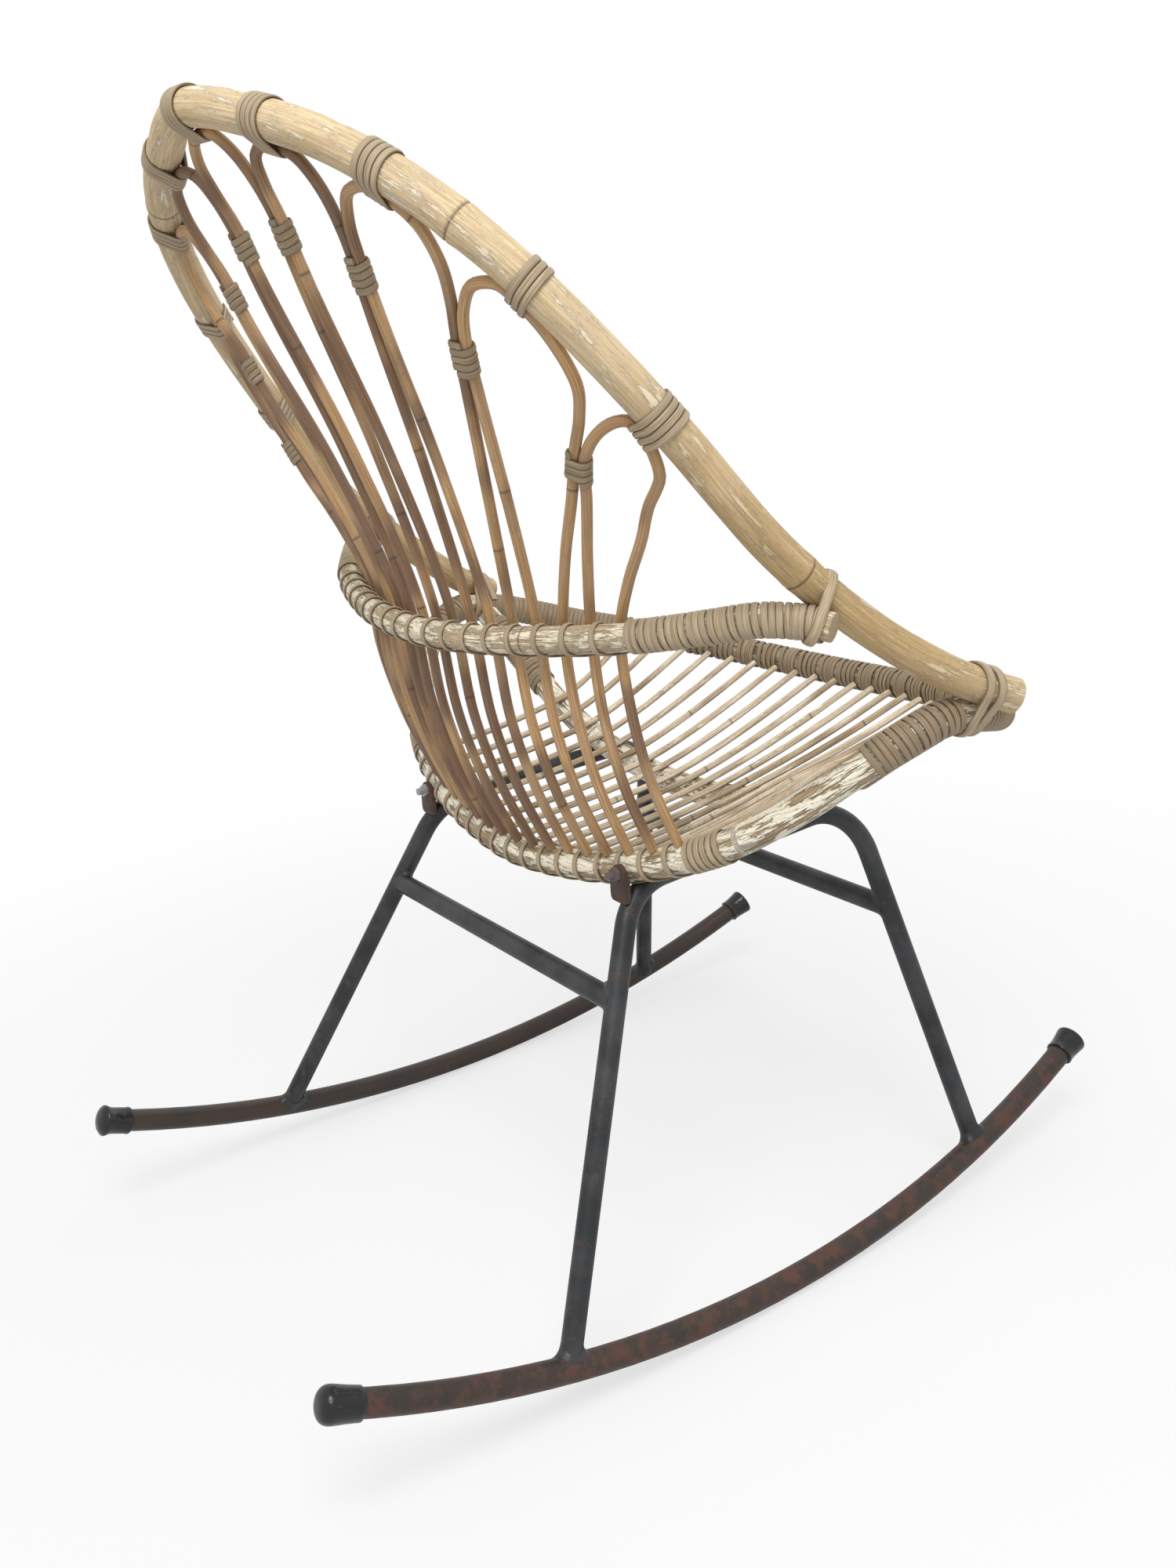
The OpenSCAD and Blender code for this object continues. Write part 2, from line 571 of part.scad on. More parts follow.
// Poles of the shell
hoop_n = 2 * crown_n;
RING_RUN = [0, 0.5, 1, 1.5, 2, 2.5, 3, 3.5, 4, 4.4, 4.8, 5.1, 5.4, 5.7, 6, 6.3, 6.6, 6.8, 7,
    7.25, 7.5, 7.75, 8, 8.4, 9, 9.5, 10, 10.5, 11, 11.5, 12, 12.3, 12.65, 13, 13.5, 14];
ring_run = [for (u = RING_RUN) ring_at(u)];
module hoop() { color("wheat") rest() pole(run(hoop_m, 44, 0, hoop_n), hoop_d, 12, HOOP_GUIDE); }
module seat_ring() {
    path = concat(ring_run, [for (i = [len(ring_run) - 2:-1:1]) flip(ring_run[i])]);
    n = len(path);
    color("khaki") rest()
        difference() {
            skin([for (i = [0:n - 1])
                disc(path[i], unit(path[(i + 1) % n] - path[(i + n - 1) % n]), UP,
                    ring_d / 2, 10)], loop = true);
            both()
                along([screw_at.x, tab_y, screw_at.z], -ALONG)
                    cylinder(tab_gap + screw_in + 1, d = screw_d + 2 * touch, $fn = fine);
        }
}
module seat_bearer() {
    color("khaki") rest() pole(run(bearer_m, 20, 0, 2 * bearer_n), ring_d, 10, ALONG);
}
module lumbar_ring() {
    color("tan") rest() pole(run(lumbar_m, 27, 0, 2 * lumbar_n), lumbar_d, 10, UP);
}
module back_arch(k) {
    m = arch_marks(k - 1);
    color("peru") rest() pole([for (u = ARCH_RUN) on(m, u)], spindle_d, 6, ALONG);
}
module seat_rod(k) {
    m = rod_marks(k - 1);
    color("burlywood") rest() pole(run(m, 6, 0, len(m) - 1), rod_d, 6, UP);
}

// Bindings
b_steps = 10;
t_steps = 8;
function binding(k) =
    let (m = arch_marks(k), s = STATIONS[k])
    bound(hoop_at(s), hoop_dir(s), hoop_d / 2,
        m[apex_mark], -heading(m, apex_mark), spindle_d / 2, binding_turns, b_steps);
lower = 0.42;
function tie(j) =
    let (l = arch_marks(j - 1), r = arch_marks(j))
    bound(on(l, right_tie + lower), -heading(l, right_tie + lower), spindle_d / 2 + touch,
        on(r, left_tie - lower), heading(r, left_tie - lower), spindle_d / 2 + touch,
        binding_turns, t_steps);
arm_loop = bound(arm_under, heading(hoop_half, arm_n + lumbar_meet), hoop_d / 2,
    arm_touch, heading(lumbar_half, lumbar_n - 1), lumbar_d / 2, 1, b_steps);
hoop_cross = arm_n + 3.42;
ring_cross = rear_n + 0.4;
corner_loop = bound(on(hoop_half, hoop_cross), heading(hoop_half, hoop_cross), hoop_d / 2,
    ring_at(ring_cross), ring_dir(ring_cross), ring_d / 2, binding_turns, b_steps);
ring_turns = 11;
ring_wind = wound(rear_m, -rod_pitch_rear * ring_turns / 2, ring_turns,
    rod_pitch_rear, ring_d / 2, b_steps);
lumbar_wind = wound(lumbar_m, -spindle_pitch * (legs / 2 - 0.5), legs - 1,
    spindle_pitch, lumbar_d / 2, b_steps);
echo(least_turn_gap = min(turn_gap(binding(0), b_steps), turn_gap(tie(1), t_steps),
    turn_gap(ring_wind, b_steps), turn_gap(lumbar_wind, b_steps),
    turn_gap(corner_loop, b_steps)));

module hoop_bindings() { color("gainsboro") rest() for (k = [0:arches - 1]) skin(binding(k)); }
module arch_ties() { color("gainsboro") rest() for (j = [1:arches - 1]) skin(tie(j)); }
module arm_loops() { color("gainsboro") rest() both() skin(arm_loop); }
module corner_loops() { color("gainsboro") rest() both() skin(corner_loop); }
module lumbar_winding() { color("gainsboro") rest() skin(lumbar_wind); }
module ring_winding() { color("gainsboro") rest() skin(ring_wind); }

// Close windings, each drawn as a sleeve
module lumbar_end_wraps() {
    color("silver") rest() both()
        sleeve(run(lumbar_half, 6, at_x(lumbar_half, lumbar_wrap_x, 0, lumbar_n), lumbar_n - 1.7),
            lumbar_d, cane_t, 10, UP);
}
module ring_corner_wraps() {
    color("silver") rest() both()
        sleeve([for (u = RING_RUN) if (u > 5.5 && u < 6.5) ring_at(u)], ring_d, cane_t, 10, UP);
}
module bearer_end_wraps() {
    color("silver") rest() both()
        sleeve(run(bearer_half, 6, at_x(bearer_half, bearer_wrap_x, 0, bearer_n), bearer_n - 0.15),
            ring_d, cane_t, 10, ALONG);
}
module front_weave() {
    part = [for (u = RING_RUN) if (u > 8.3) ring_at(u)];
    color("darkkhaki") rest()
        sleeve(concat(part, [for (i = [len(part) - 2:-1:0]) flip(part[i])]),
            ring_d, weave_t, 10, UP);
}

rocker_left();
rocker_right();
side_frame_left();
side_frame_right();
cross_bar_rear();
cross_bar_front();
rear_cap_left();
rear_cap_right();
front_cap_left();
front_cap_right();
ring_tab_left();
ring_tab_right();
ring_screws();
hoop();
seat_ring();
seat_bearer();
lumbar_ring();
for (k = [1:arches]) back_arch(k);
for (k = [1:rods]) seat_rod(k);
hoop_bindings();
arch_ties();
arm_loops();
corner_loops();
lumbar_winding();
ring_winding();
lumbar_end_wraps();
ring_corner_wraps();
bearer_end_wraps();
front_weave();
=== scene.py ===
"""Rattan rocking chair: a hooped rattan shell, bound with cane, on a rocker base of steel tube.

Metres, +Z up. The sitter faces -Y and the left side is +X. Each section makes one group of
pieces, with its sizes, colours, mesh and finish.
"""

import math

import bmesh
import bpy
import numpy as np
from mathutils import Matrix, Vector


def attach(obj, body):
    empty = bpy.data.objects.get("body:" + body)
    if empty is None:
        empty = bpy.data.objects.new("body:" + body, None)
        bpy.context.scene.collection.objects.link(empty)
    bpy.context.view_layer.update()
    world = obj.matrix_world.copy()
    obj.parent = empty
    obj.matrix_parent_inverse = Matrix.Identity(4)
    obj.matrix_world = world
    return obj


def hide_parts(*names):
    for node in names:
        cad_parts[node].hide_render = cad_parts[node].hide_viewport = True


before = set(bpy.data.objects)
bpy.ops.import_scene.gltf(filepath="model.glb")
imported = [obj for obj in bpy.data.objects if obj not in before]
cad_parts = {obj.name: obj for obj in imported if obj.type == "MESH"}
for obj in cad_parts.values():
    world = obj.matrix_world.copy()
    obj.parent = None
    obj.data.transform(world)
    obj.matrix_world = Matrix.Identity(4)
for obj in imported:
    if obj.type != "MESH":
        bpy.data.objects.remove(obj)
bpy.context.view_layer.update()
chance = np.random.default_rng(11)

# Camera
# It stands behind the chair on the sitter's right, a little under the crown, and is rolled
# as much as the empty chair leans.
EYE = (-0.95363, 0.60311, 0.72510)
EYE_AZIMUTH, EYE_ELEVATION, EYE_ROLL = 236.656, 18.186, -5.181
LENS_MM, SENSOR_MM, NEAREST = 33.586, 36, 0.05


def turned(azimuth, elevation, roll):
    """Right, up and back of a camera that looks back along an azimuth and an elevation."""
    a, e, r = (math.radians(v) for v in (azimuth, elevation, roll))
    back = np.array([math.sin(a) * math.cos(e), -math.cos(a) * math.cos(e), math.sin(e)])
    level = np.cross([0, 0, 1], back)
    level /= np.linalg.norm(level)
    right = level * math.cos(r) + np.cross(back, level) * math.sin(r)
    return np.stack([right, np.cross(back, right), back], 1)


camera = bpy.data.objects.new("camera", bpy.data.cameras.new("camera"))
camera.data.lens, camera.data.sensor_width = LENS_MM, SENSOR_MM
camera.data.clip_start = NEAREST
facing = Matrix(turned(EYE_AZIMUTH, EYE_ELEVATION, EYE_ROLL).tolist())
camera.matrix_world = Matrix.Translation(EYE) @ facing.to_4x4()
bpy.context.scene.collection.objects.link(camera)
bpy.context.scene.camera = camera
bpy.context.scene.view_settings.view_transform = "Standard"


# Hoop
# The hoop is one thick rattan stem, steamed and bent from tip to tip, and double cane loops
# hold it on the seat ring. Its varnish has worn to pale flakes, and the cuts show the pith.
HOOP_D, HOOP_SIDES, HOOP_FINE = 0.024, 12, 40
HOOP_JOINTS = [(-0.2185, 0.1735, 0.7735), (-0.3069, 0.0077, 0.5543), (0.16, 0.215, 0.83),
               (0.31, 0.01, 0.55)]
HONEY_BELOW, HONEY_FADE = 0.72, 0.16
TIPS_BELOW, TIPS_FADE = 0.43, 0.06
# Shares of the radius, then how far along the stem a joint swells it, and how it sways.
SWELL, NICKED, WANDER, RIM = 0.05, 0.06, 0.012, 0.03
SWELL_SHARE, SWELL_LEAST = 0.3, 0.0015
SWAYS, SWAY_SHARES = (41, 97), (0.6, 0.4)
NICK, NICK_ROWS = 0.0009, np.array([-3.0, -1.6, -0.8, 0.0, 0.8, 1.6, 3.0]) / 1000
# How the CAD's poles are read, and how finely the smooth ones are drawn.
MERGE, EDGE_SLACK = 2e-6, 6e-6
POLE_STEP, BEND_POINTS, CREASE = 0.004, 16, math.radians(50)
# Waves of each pattern in a metre, twice across the grain and once along it.
FIBRES, VEINS, CLOUDS = (1300, 1300, 22), (420, 420, 7), (60, 60, 13)
SPECKS, CRAZES, SLOW = (900, 900, 230), (330, 330, 95), (9, 9, 9)
# Height of the relief in metres, and the range in which each stem's grain starts.
RELIEF, GRAIN_STARTS = 0.00022, 9


def unit(v):
    """The same directions, one long."""
    return v / np.linalg.norm(v, axis=-1, keepdims=True)


def corners_of(node):
    """Corner points and edges of a CAD node, once its loose triangles share their corners."""
    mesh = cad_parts[node].data.copy()
    shared = bmesh.new()
    shared.from_mesh(mesh)
    bmesh.ops.remove_doubles(shared, verts=shared.verts, dist=MERGE)
    shared.to_mesh(mesh)
    shared.free()
    points = np.empty(3 * len(mesh.vertices))
    mesh.vertices.foreach_get("co", points)
    edges = np.empty(2 * len(mesh.edges), int)
    mesh.edges.foreach_get("vertices", edges)
    bpy.data.meshes.remove(mesh)
    return points.reshape(-1, 3), edges.reshape(-1, 2)


def grouped(count, edges):
    """A group number for each corner: corners that edges join, near or far, share theirs."""
    group = np.arange(count)
    while True:
        before = group.copy()
        np.minimum.at(group, edges[:, 0], group[edges[:, 1]])
        np.minimum.at(group, edges[:, 1], group[edges[:, 0]])
        if (group == before).all():
            return np.unique(group, return_inverse=True, return_counts=True)[1:]


def middles(points, group, count):
    """Mean of the corner points of each group."""
    return np.stack([np.bincount(group, points[:, k]) / count for k in range(3)], 1)


def rings_of(node, thick, sides, around=None):
    """Centres of the many-sided rings that a CAD pole is drawn with, in order along it.

    Corners joined by edges as long as a ring's side make a ring, and rings joined by other
    edges are neighbours. With an angle around, all the rings are sorted instead by their
    angle about their middle, from that angle onwards.
    """
    points, edges = corners_of(node)
    length = np.linalg.norm(points[edges[:, 0]] - points[edges[:, 1]], axis=1)
    side = thick * math.sin(math.pi / sides)
    ring, count = grouped(len(points), edges[abs(length - side) < EDGE_SLACK])
    centres = middles(points, ring, count)
    whole = count == sides
    if around is not None:
        centres = centres[whole]
        off = centres - centres.mean(0)
        angle = np.arctan2(off[:, 1], off[:, 0]) - around
        return centres[np.argsort(angle % (2 * math.pi))]
    beside = {int(r): set() for r in np.flatnonzero(whole)}
    for a, b in {tuple(pair) for pair in ring[edges].tolist()}:
        if a != b and whole[a] and whole[b]:
            beside[a].add(b)
            beside[b].add(a)
    here = min((r for r in beside if len(beside[r]) == 1), key=lambda r: -centres[r][0])
    order = [here]
    while beside[here] - set(order):
        here = min(beside[here] - set(order))
        order.append(here)
    return centres[order]


class Pole:
    """A round stem: evenly spaced points of its middle line, the length walked to each, and
    there the heading and two directions square to it. A closed pole ends where it starts.

    The line is a cubic through the marks, whose slope at a mark weighs the runs before and
    after it by their lengths.
    """

    def __init__(self, marks, thick, step, closed=False):
        self.radius, self.closed = thick / 2, closed
        before = marks[-1:] if closed else 2 * marks[:1] - marks[1:2]
        after = marks[:2] if closed else 2 * marks[-1:] - marks[-2:-1]
        marks = np.vstack([before, marks, after])
        gap = np.linalg.norm(np.diff(marks, axis=0), axis=1)[:, None]
        run = np.diff(marks, axis=0) / gap
        share = gap[1:] / (gap[1:] + gap[:-1])
        slope = share * run[:-1] + (1 - share) * run[1:]
        t = np.linspace(0, 1, BEND_POINTS, endpoint=False)[None, :, None]
        a, b, h = marks[1:-2, None], marks[2:-1, None], gap[1:-1, None]
        curve = ((2 * t**3 - 3 * t**2 + 1) * a + (t**3 - 2 * t**2 + t) * slope[:-1, None] * h
                 + (3 * t**2 - 2 * t**3) * b + (t**3 - t**2) * slope[1:, None] * h)
        curve = np.vstack([curve.reshape(-1, 3), marks[1:2] if closed else marks[-2:-1]])
        walked = np.append(0, np.cumsum(np.linalg.norm(np.diff(curve, axis=0), axis=1)))
        self.total = walked[-1]
        self.s = np.linspace(0, self.total, round(self.total / step) + 1)
        self.line = np.stack([np.interp(self.s, walked, curve[:, k]) for k in range(3)], 1)
        ahead = np.gradient(self.line, axis=0)
        if closed:
            ahead[0] = ahead[-1] = self.line[1] - self.line[-2]
        self.heading = unit(ahead)
        guide = np.linalg.svd(self.line - self.line.mean(0), full_matrices=False)[2][2]
        guide *= np.sign(guide[np.argmax(abs(guide))])
        self.e = unit(np.cross(guide, self.heading))
        self.f = np.cross(self.heading, self.e)

    def at(self, s):
        """Middle and heading at the lengths s."""
        s = np.mod(s, self.total) if self.closed else s
        middle, heading = (
            np.stack([np.interp(s, self.s, v[:, k]) for k in range(3)], -1)
            for v in (self.line, self.heading))
        return middle, unit(heading)

    def near(self, point):
        """Length at which the pole passes nearest to a point."""
        return self.s[np.argmin(np.linalg.norm(self.line - np.asarray(point), axis=1))]


def stem(pole, sides, joints=(), tone=0.0):
    """Sheet of a stem's skin: rings about the middle line, and more of them at each joint.
    The radius swells at a joint, is nicked there, and wanders slowly between joints. An open
    end is cut flat with a small round rim.

    Fields: grain is the place across and along the stem, knot marks the joints, below how
    far the skin faces down, cut the sawn ends, and tone the shade, which may change along it.
    """
    near = np.array(joints)[:, None] + NICK_ROWS
    s = np.unique(np.concatenate([pole.s, near.ravel()]))
    s = s[(s >= 0) & (s <= pole.total)][:-1 if pole.closed else None]
    line, e, f = (np.stack([np.interp(s, pole.s, v[:, k]) for k in range(3)], 1)
                  for v in (pole.line, pole.e, pole.f))
    tone = np.interp(s, pole.s, tone * np.ones(len(pole.s)))
    off = s[:, None] - np.array([*joints, -1.0])[None]
    swell = np.exp(-((off / (SWELL_SHARE * pole.radius + SWELL_LEAST)) ** 2)).sum(1)
    groove = np.exp(-((off / NICK) ** 2)).sum(1)
    start = chance.uniform(0, GRAIN_STARTS)
    wander = sum(np.sin(sway * s + (k + 1) * start) * share
                 for k, (sway, share) in enumerate(zip(SWAYS, SWAY_SHARES)))
    radius = pole.radius * (1 + SWELL * swell - NICKED * groove + WANDER * wander)
    cut = np.zeros(len(s))
    if not pole.closed:
        back, ahead = (pole.heading[[k]] * RIM * pole.radius for k in (0, -1))
        line = np.vstack([np.repeat(line[:1] - back, 3, 0), line,
                          np.repeat(line[-1:] + ahead, 3, 0)])
        e, f = (np.vstack([np.repeat(v[:1], 3, 0), v, np.repeat(v[-1:], 3, 0)]) for v in (e, f))
        shrink = np.array([0.01, 0.5, 0.95])
        radius = np.concatenate([radius[0] * shrink, radius, radius[-1] * shrink[::-1]])
        s, groove, tone = (np.pad(v, 3, mode="edge") for v in (s, groove, tone))
        cut = np.pad(cut, 3, constant_values=1.0)
    turn = np.arange(sides) * 2 * math.pi / sides
    ring = np.cos(turn)[None, :, None] * e[:, None] + np.sin(turn)[None, :, None] * f[:, None]
    across = radius[:, None] * np.ones(sides)
    grain = np.stack([across * np.cos(turn), across * np.sin(turn),
                      (s + start)[:, None] * np.ones(sides)], -1)
    spread = np.ones((1, sides))
    return {"points": line[:, None] + radius[:, None, None] * ring, "closed": pole.closed,
            "grain": grain, "knot": groove[:, None] * spread, "below": -ring[:, :, 2],
            "cut": cut[:, None] * spread, "tone": tone[:, None] * spread}


def piece(name, sheets, finish, slot, *nodes):
    """One object from sheets of points. Rows run along a sheet and columns round it, so the
    sides are a grid of four-sided faces, and one face closes each open end."""
    points, faces, start = [], [], 0
    fields = [k for k in sheets[0] if k not in ("points", "closed")]
    for sheet in sheets:
        rows, columns = sheet["points"].shape[:2]
        i = np.arange(rows if sheet["closed"] else rows - 1)[:, None] * np.ones((1, columns), int)
        j = np.arange(columns)[None] * np.ones_like(i)
        k, m = (i + 1) % rows, (j + 1) % columns
        quads = np.stack([i * columns + j, i * columns + m, k * columns + m, k * columns + j], -1)
        faces += (start + quads.reshape(-1, 4)).tolist()
        if not sheet["closed"]:
            faces.append((start + np.arange(columns)[::-1]).tolist())
            faces.append((start + (rows - 1) * columns + np.arange(columns)).tolist())
        points.append(sheet["points"].reshape(-1, 3))
        start += rows * columns
    mesh = bpy.data.meshes.new(name)
    mesh.from_pydata(np.vstack(points), [], faces)
    for field in fields:
        values = np.concatenate([np.ravel(sheet[field]) for sheet in sheets]).astype(np.float32)
        vector = sheets[0][field].ndim == 3
        layer = mesh.attributes.new(field, "FLOAT_VECTOR" if vector else "FLOAT", "POINT")
        layer.data.foreach_set("vector" if vector else "value", values)
    mesh.polygons.foreach_set("use_smooth", np.ones(len(mesh.polygons), bool))
    mesh.set_sharp_from_angle(angle=CREASE)
    mesh.materials.append(finish)
    made = bpy.data.objects.new(name, mesh)
    bpy.context.scene.collection.objects.link(made)
    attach(made, "root")
    if nodes:
        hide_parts(*nodes)
    return made


class Wire:
    """A socket of a material. Sums, differences and products add its Math nodes."""

    def __init__(self, tree, socket=None):
        self.tree, self.socket = tree, socket

    def node(self, kind, settings=(), inputs=(), out=0):
        """Adds a node of one type: first its settings, then the values or wires of its sockets."""
        made = self.tree.nodes.new("ShaderNode" + kind)
        for name, value in dict(settings).items():
            setattr(made, name, value)
        for name, value in dict(inputs).items():
            if isinstance(value, Wire):
                self.tree.links.new(value.socket, made.inputs[name])
            else:
                made.inputs[name].default_value = value
        return Wire(self.tree, made.outputs[out])

    def maths(self, operation, a, b):
        """A Math node of two wires or numbers."""
        return self.node("Math", {"operation": operation}, {0: a, 1: b})

    def __add__(self, other):
        return self.maths("ADD", self, other)

    def __sub__(self, other):
        return self.maths("SUBTRACT", self, other)

    def __rsub__(self, other):
        return self.maths("SUBTRACT", other, self)

    def __mul__(self, other):
        return self.maths("MULTIPLY", self, other)

    __radd__, __rmul__ = __add__, __mul__

    def most(self, other):
        """The greater of two wires or numbers."""
        return self.maths("MAXIMUM", self, other)

    def ramp(self, low, high):
        """Rises smoothly from 0 where the wire is low to 1 where it is high."""
        return self.node("MapRange", {"interpolation_type": "SMOOTHSTEP"},
                         {"Value": self, "From Min": low, "From Max": high})

    def mix(self, a, b):
        """Colour a where the wire is 0 and colour b where it is 1."""
        return self.node("Mix", {"data_type": "RGBA"}, {0: self, 6: a, 7: b}, out=2)

    def tint(self, a, b):
        """Colour a, multiplied by colour b as far as the wire says."""
        return self.node("Mix", {"data_type": "RGBA", "blend_type": "MULTIPLY"},
                         {0: self, 6: a, 7: b}, out=2)

    def stretch(self, x, y, z):
        """This wire's vector, stretched: a pattern read there has so many waves a metre."""
        return self.node("VectorMath", {"operation": "MULTIPLY"}, {0: self, 1: (x, y, z)})

    def noise(self, detail, rough=0.55):
        """Cloudy noise read at this wire's vector."""
        return self.node("TexNoise", (), {"Vector": self, "Scale": 1.0, "Detail": detail,
                                          "Roughness": rough})

    def cracks(self):
        """Distance to the nearest edge between the cells round this wire's vector."""
        return self.node("TexVoronoi", {"feature": "DISTANCE_TO_EDGE"},
                         {"Vector": self, "Scale": 1.0})

    def field(self, name, out="Fac"):
        """A field that the sheets of a piece carry."""
        return self.node("Attribute", {"attribute_name": name}, out=out)

    def bump(self, depth):
        """Normal of a surface that stands this wire times depth proud, in metres."""
        return self.node("Bump", (), {"Height": self, "Distance": depth, "Strength": 1.0})


def paint(red, green, blue):
    """A colour as it looks on a screen, from 0 to 255, turned into the light it sends back."""
    return tuple(((c / 255 + 0.055) / 1.055) ** 2.4 for c in (red, green, blue)) + (1.0,)


def started(name):
    """A new material, and a wire from which its nodes are added."""
    material = bpy.data.materials.new(name)
    material.use_nodes = True
    return material, Wire(material.node_tree)


def finished(material, wires):
    """Feeds a material's shader from wires by socket name."""
    shader = material.node_tree.nodes["Principled BSDF"]
    for slot, wire in wires.items():
        material.node_tree.links.new(wire.socket, shader.inputs[slot])
    return material


# A dark brown used for real grime in pits, cracks and varnish rims, and also for painted shade on
# undersides and in the crevices along cane edges.
PITH, GRIME_AND_SHADE, JOINT_DARK = paint(196, 176, 138), paint(92, 74, 52), paint(74, 56, 38)


def rattan(name, light, dark, worn, flake, flaking=0.5, gloss=0.35, pits=0.3, cells=90.0,
           shade=(0.6, 0.55, 0.52, 1.0), drift=0.0, underside_shade=0.3, bare=0.7, crazing=0.0):
    """Rattan stem: lengthwise fibres between a light and a dark shade, weathered patches, and
    varnish left in ragged islands. Joints are dark, sawn ends pale, and undersides get painted
    shade.

    light, dark and worn are the wood's colours, and flake is the varnish's. flaking is the
    share that still has varnish, cells how many islands fit a metre, shade what a tone of 1
    multiplies the colour by, drift how far the tone wanders, bare and gloss the roughness
    without and with varnish, and crazing how dark the fine cracks in the varnish are.
    """
    material, start = started(name)
    grain = start.field("grain", "Vector")
    fibre = grain.stretch(*FIBRES).noise(3.0)
    vein = grain.stretch(*VEINS).noise(3.0)
    cloud = grain.stretch(*CLOUDS).noise(3.0)
    ragged = grain.stretch(2.6 * cells, 2.6 * cells, 0.5 * cells).noise(6.0, 0.68)
    ragged = ragged + (fibre - 0.5) * 0.3 + (cloud - 0.5) * 0.3
    edge = 0.72 - 0.44 * flaking
    island = ragged.ramp(edge - 0.02, edge + 0.02)
    rim = ragged.ramp(edge - 0.06, edge) * (1 - ragged.ramp(edge, edge + 0.03))
    speck = grain.stretch(*SPECKS).noise(2.0).ramp(0.62, 0.7) * pits
    knot = start.field("knot")
    cut = start.field("cut")
    wood = fibre.ramp(0.3, 0.7).mix(dark, light)
    wood = (cloud.ramp(0.42, 0.66) * 0.6).mix(wood, worn)
    wood = (vein.ramp(0.5, 0.72) * 0.45).mix(wood, dark)
    coat = (vein.ramp(0.35, 0.7) * 0.4).mix(flake, light)
    cell = grain.stretch(*CRAZES) + (ragged - 0.5) * 1.4
    coat = ((1 - cell.cracks().ramp(0.0, 0.07)) * crazing).mix(coat, GRIME_AND_SHADE)
    colour = island.mix(wood, coat)
    colour = (rim * min(0.6, flaking)).mix(colour, GRIME_AND_SHADE)
    colour = speck.mix(colour, GRIME_AND_SHADE)
    slow = grain.stretch(*SLOW).noise(2.0).ramp(0.35, 0.65)
    colour = (start.field("tone") + (slow - 0.5) * drift).ramp(0.0, 1.0).tint(colour, shade)
    # Painted shade: the faces that look down are darkened towards the dark brown.
    colour = (start.field("below").ramp(-0.2, 0.8) * underside_shade).mix(colour, GRIME_AND_SHADE)
    colour = (knot * 0.75).mix(colour, JOINT_DARK)
    colour = cut.mix(colour, (speck + fibre * 0.5).mix(PITH, GRIME_AND_SHADE))
    rough = bare + fibre * 0.12 - island * (bare - gloss)
    height = fibre * 0.3 + island * 0.5 - rim * 0.2 - knot * 0.8
    return finished(material, {"Base Color": colour, "Roughness": rough.most(cut * 0.8),
                               "Normal": height.bump(RELIEF)})


hoop = Pole(rings_of("hoop", HOOP_D, HOOP_SIDES), HOOP_D, POLE_STEP)
level = hoop.line[:, 2]
varnished = (np.clip((HONEY_BELOW - level) / HONEY_FADE, 0, 1)
             * np.clip((level - TIPS_BELOW) / TIPS_FADE, 0, 1))
piece("hoop_pole", [stem(hoop, HOOP_FINE, [hoop.near(p) for p in HOOP_JOINTS], varnished)],
      rattan("hoop_finish", paint(242, 222, 184), paint(198, 170, 126), paint(206, 184, 150),
             paint(244, 231, 204), flaking=0.3, gloss=0.35, pits=0.3, cells=75, drift=0.5,
             shade=(0.78, 0.7, 0.56, 1.0)),
      "hoop_rattan", "hoop")


# Seat ring and bearer
# The seat ring is one stem bent to a saddle. Its varnish is thicker and has cracked into
# glossy cream islands. The bearer crosses below it, over the steel, and carries the rods.
RING_D, RING_SIDES, RING_FINE, BEARER_FINE = 0.022, 10, 36, 32
RING_START = 2.68
RING_JOINTS, BEARER_JOINTS = [0.31, 0.93, 1.52], [0.19, 0.46]

ring = Pole(rings_of("seat_ring", RING_D, RING_SIDES, RING_START), RING_D, POLE_STEP, True)
bearer = Pole(rings_of("seat_bearer", RING_D, RING_SIDES), RING_D, POLE_STEP)


def covered(pole, node):
    """First and last length of a pole under each separate solid of a CAD node."""
    points, edges = corners_of(node)
    group = grouped(len(points), edges)[0]
    nearest = np.argmin(np.linalg.norm(points[:, None] - pole.line[None], axis=2), axis=1)
    return [(pole.s[nearest[group == g]].min(), pole.s[nearest[group == g]].max())
            for g in range(group.max() + 1)]


(rail_start, rail_end), = covered(ring, "front_weave")
# Where the front weave covers the seat ring, a tone of 1 darkens the ring: painted shade in the
# gaps between the cane turns.
shaded_under_cane = (ring.s > rail_start) & (ring.s < rail_end)
ring_finish = rattan("ring_finish", paint(212, 190, 150), paint(120, 96, 66),
                     paint(150, 134, 108), paint(254, 247, 226), flaking=0.62, gloss=0.24,
                     pits=0.7, cells=52, shade=(0.4, 0.36, 0.32, 1.0), crazing=0.75)
piece("seat_ring_pole", [stem(ring, RING_FINE, RING_JOINTS, shaded_under_cane)], ring_finish,
      "ring_rattan", "seat_ring")
piece("seat_bearer_pole", [stem(bearer, BEARER_FINE, BEARER_JOINTS)], ring_finish,
      "ring_rattan", "seat_bearer")


# Lumbar ring
# A thinner rattan stem, greyed by weather, runs round the back of the spindles from arm to
# arm. Cane loops hold its ends to the hoop.
LUMBAR_D, LUMBAR_SIDES, LUMBAR_FINE = 0.019, 10, 32
LUMBAR_JOINTS = [0.24, 0.47]

lumbar = Pole(rings_of("lumbar_ring", LUMBAR_D, LUMBAR_SIDES), LUMBAR_D, POLE_STEP)
piece("lumbar_ring_pole", [stem(lumbar, LUMBAR_FINE, LUMBAR_JOINTS)],
      rattan("lumbar_finish", paint(226, 206, 168), paint(158, 138, 104), paint(172, 156, 128),
             paint(250, 240, 214), flaking=0.52, gloss=0.35, pits=0.6, cells=70, crazing=0.45),
      "lumbar_rattan", "lumbar_ring")


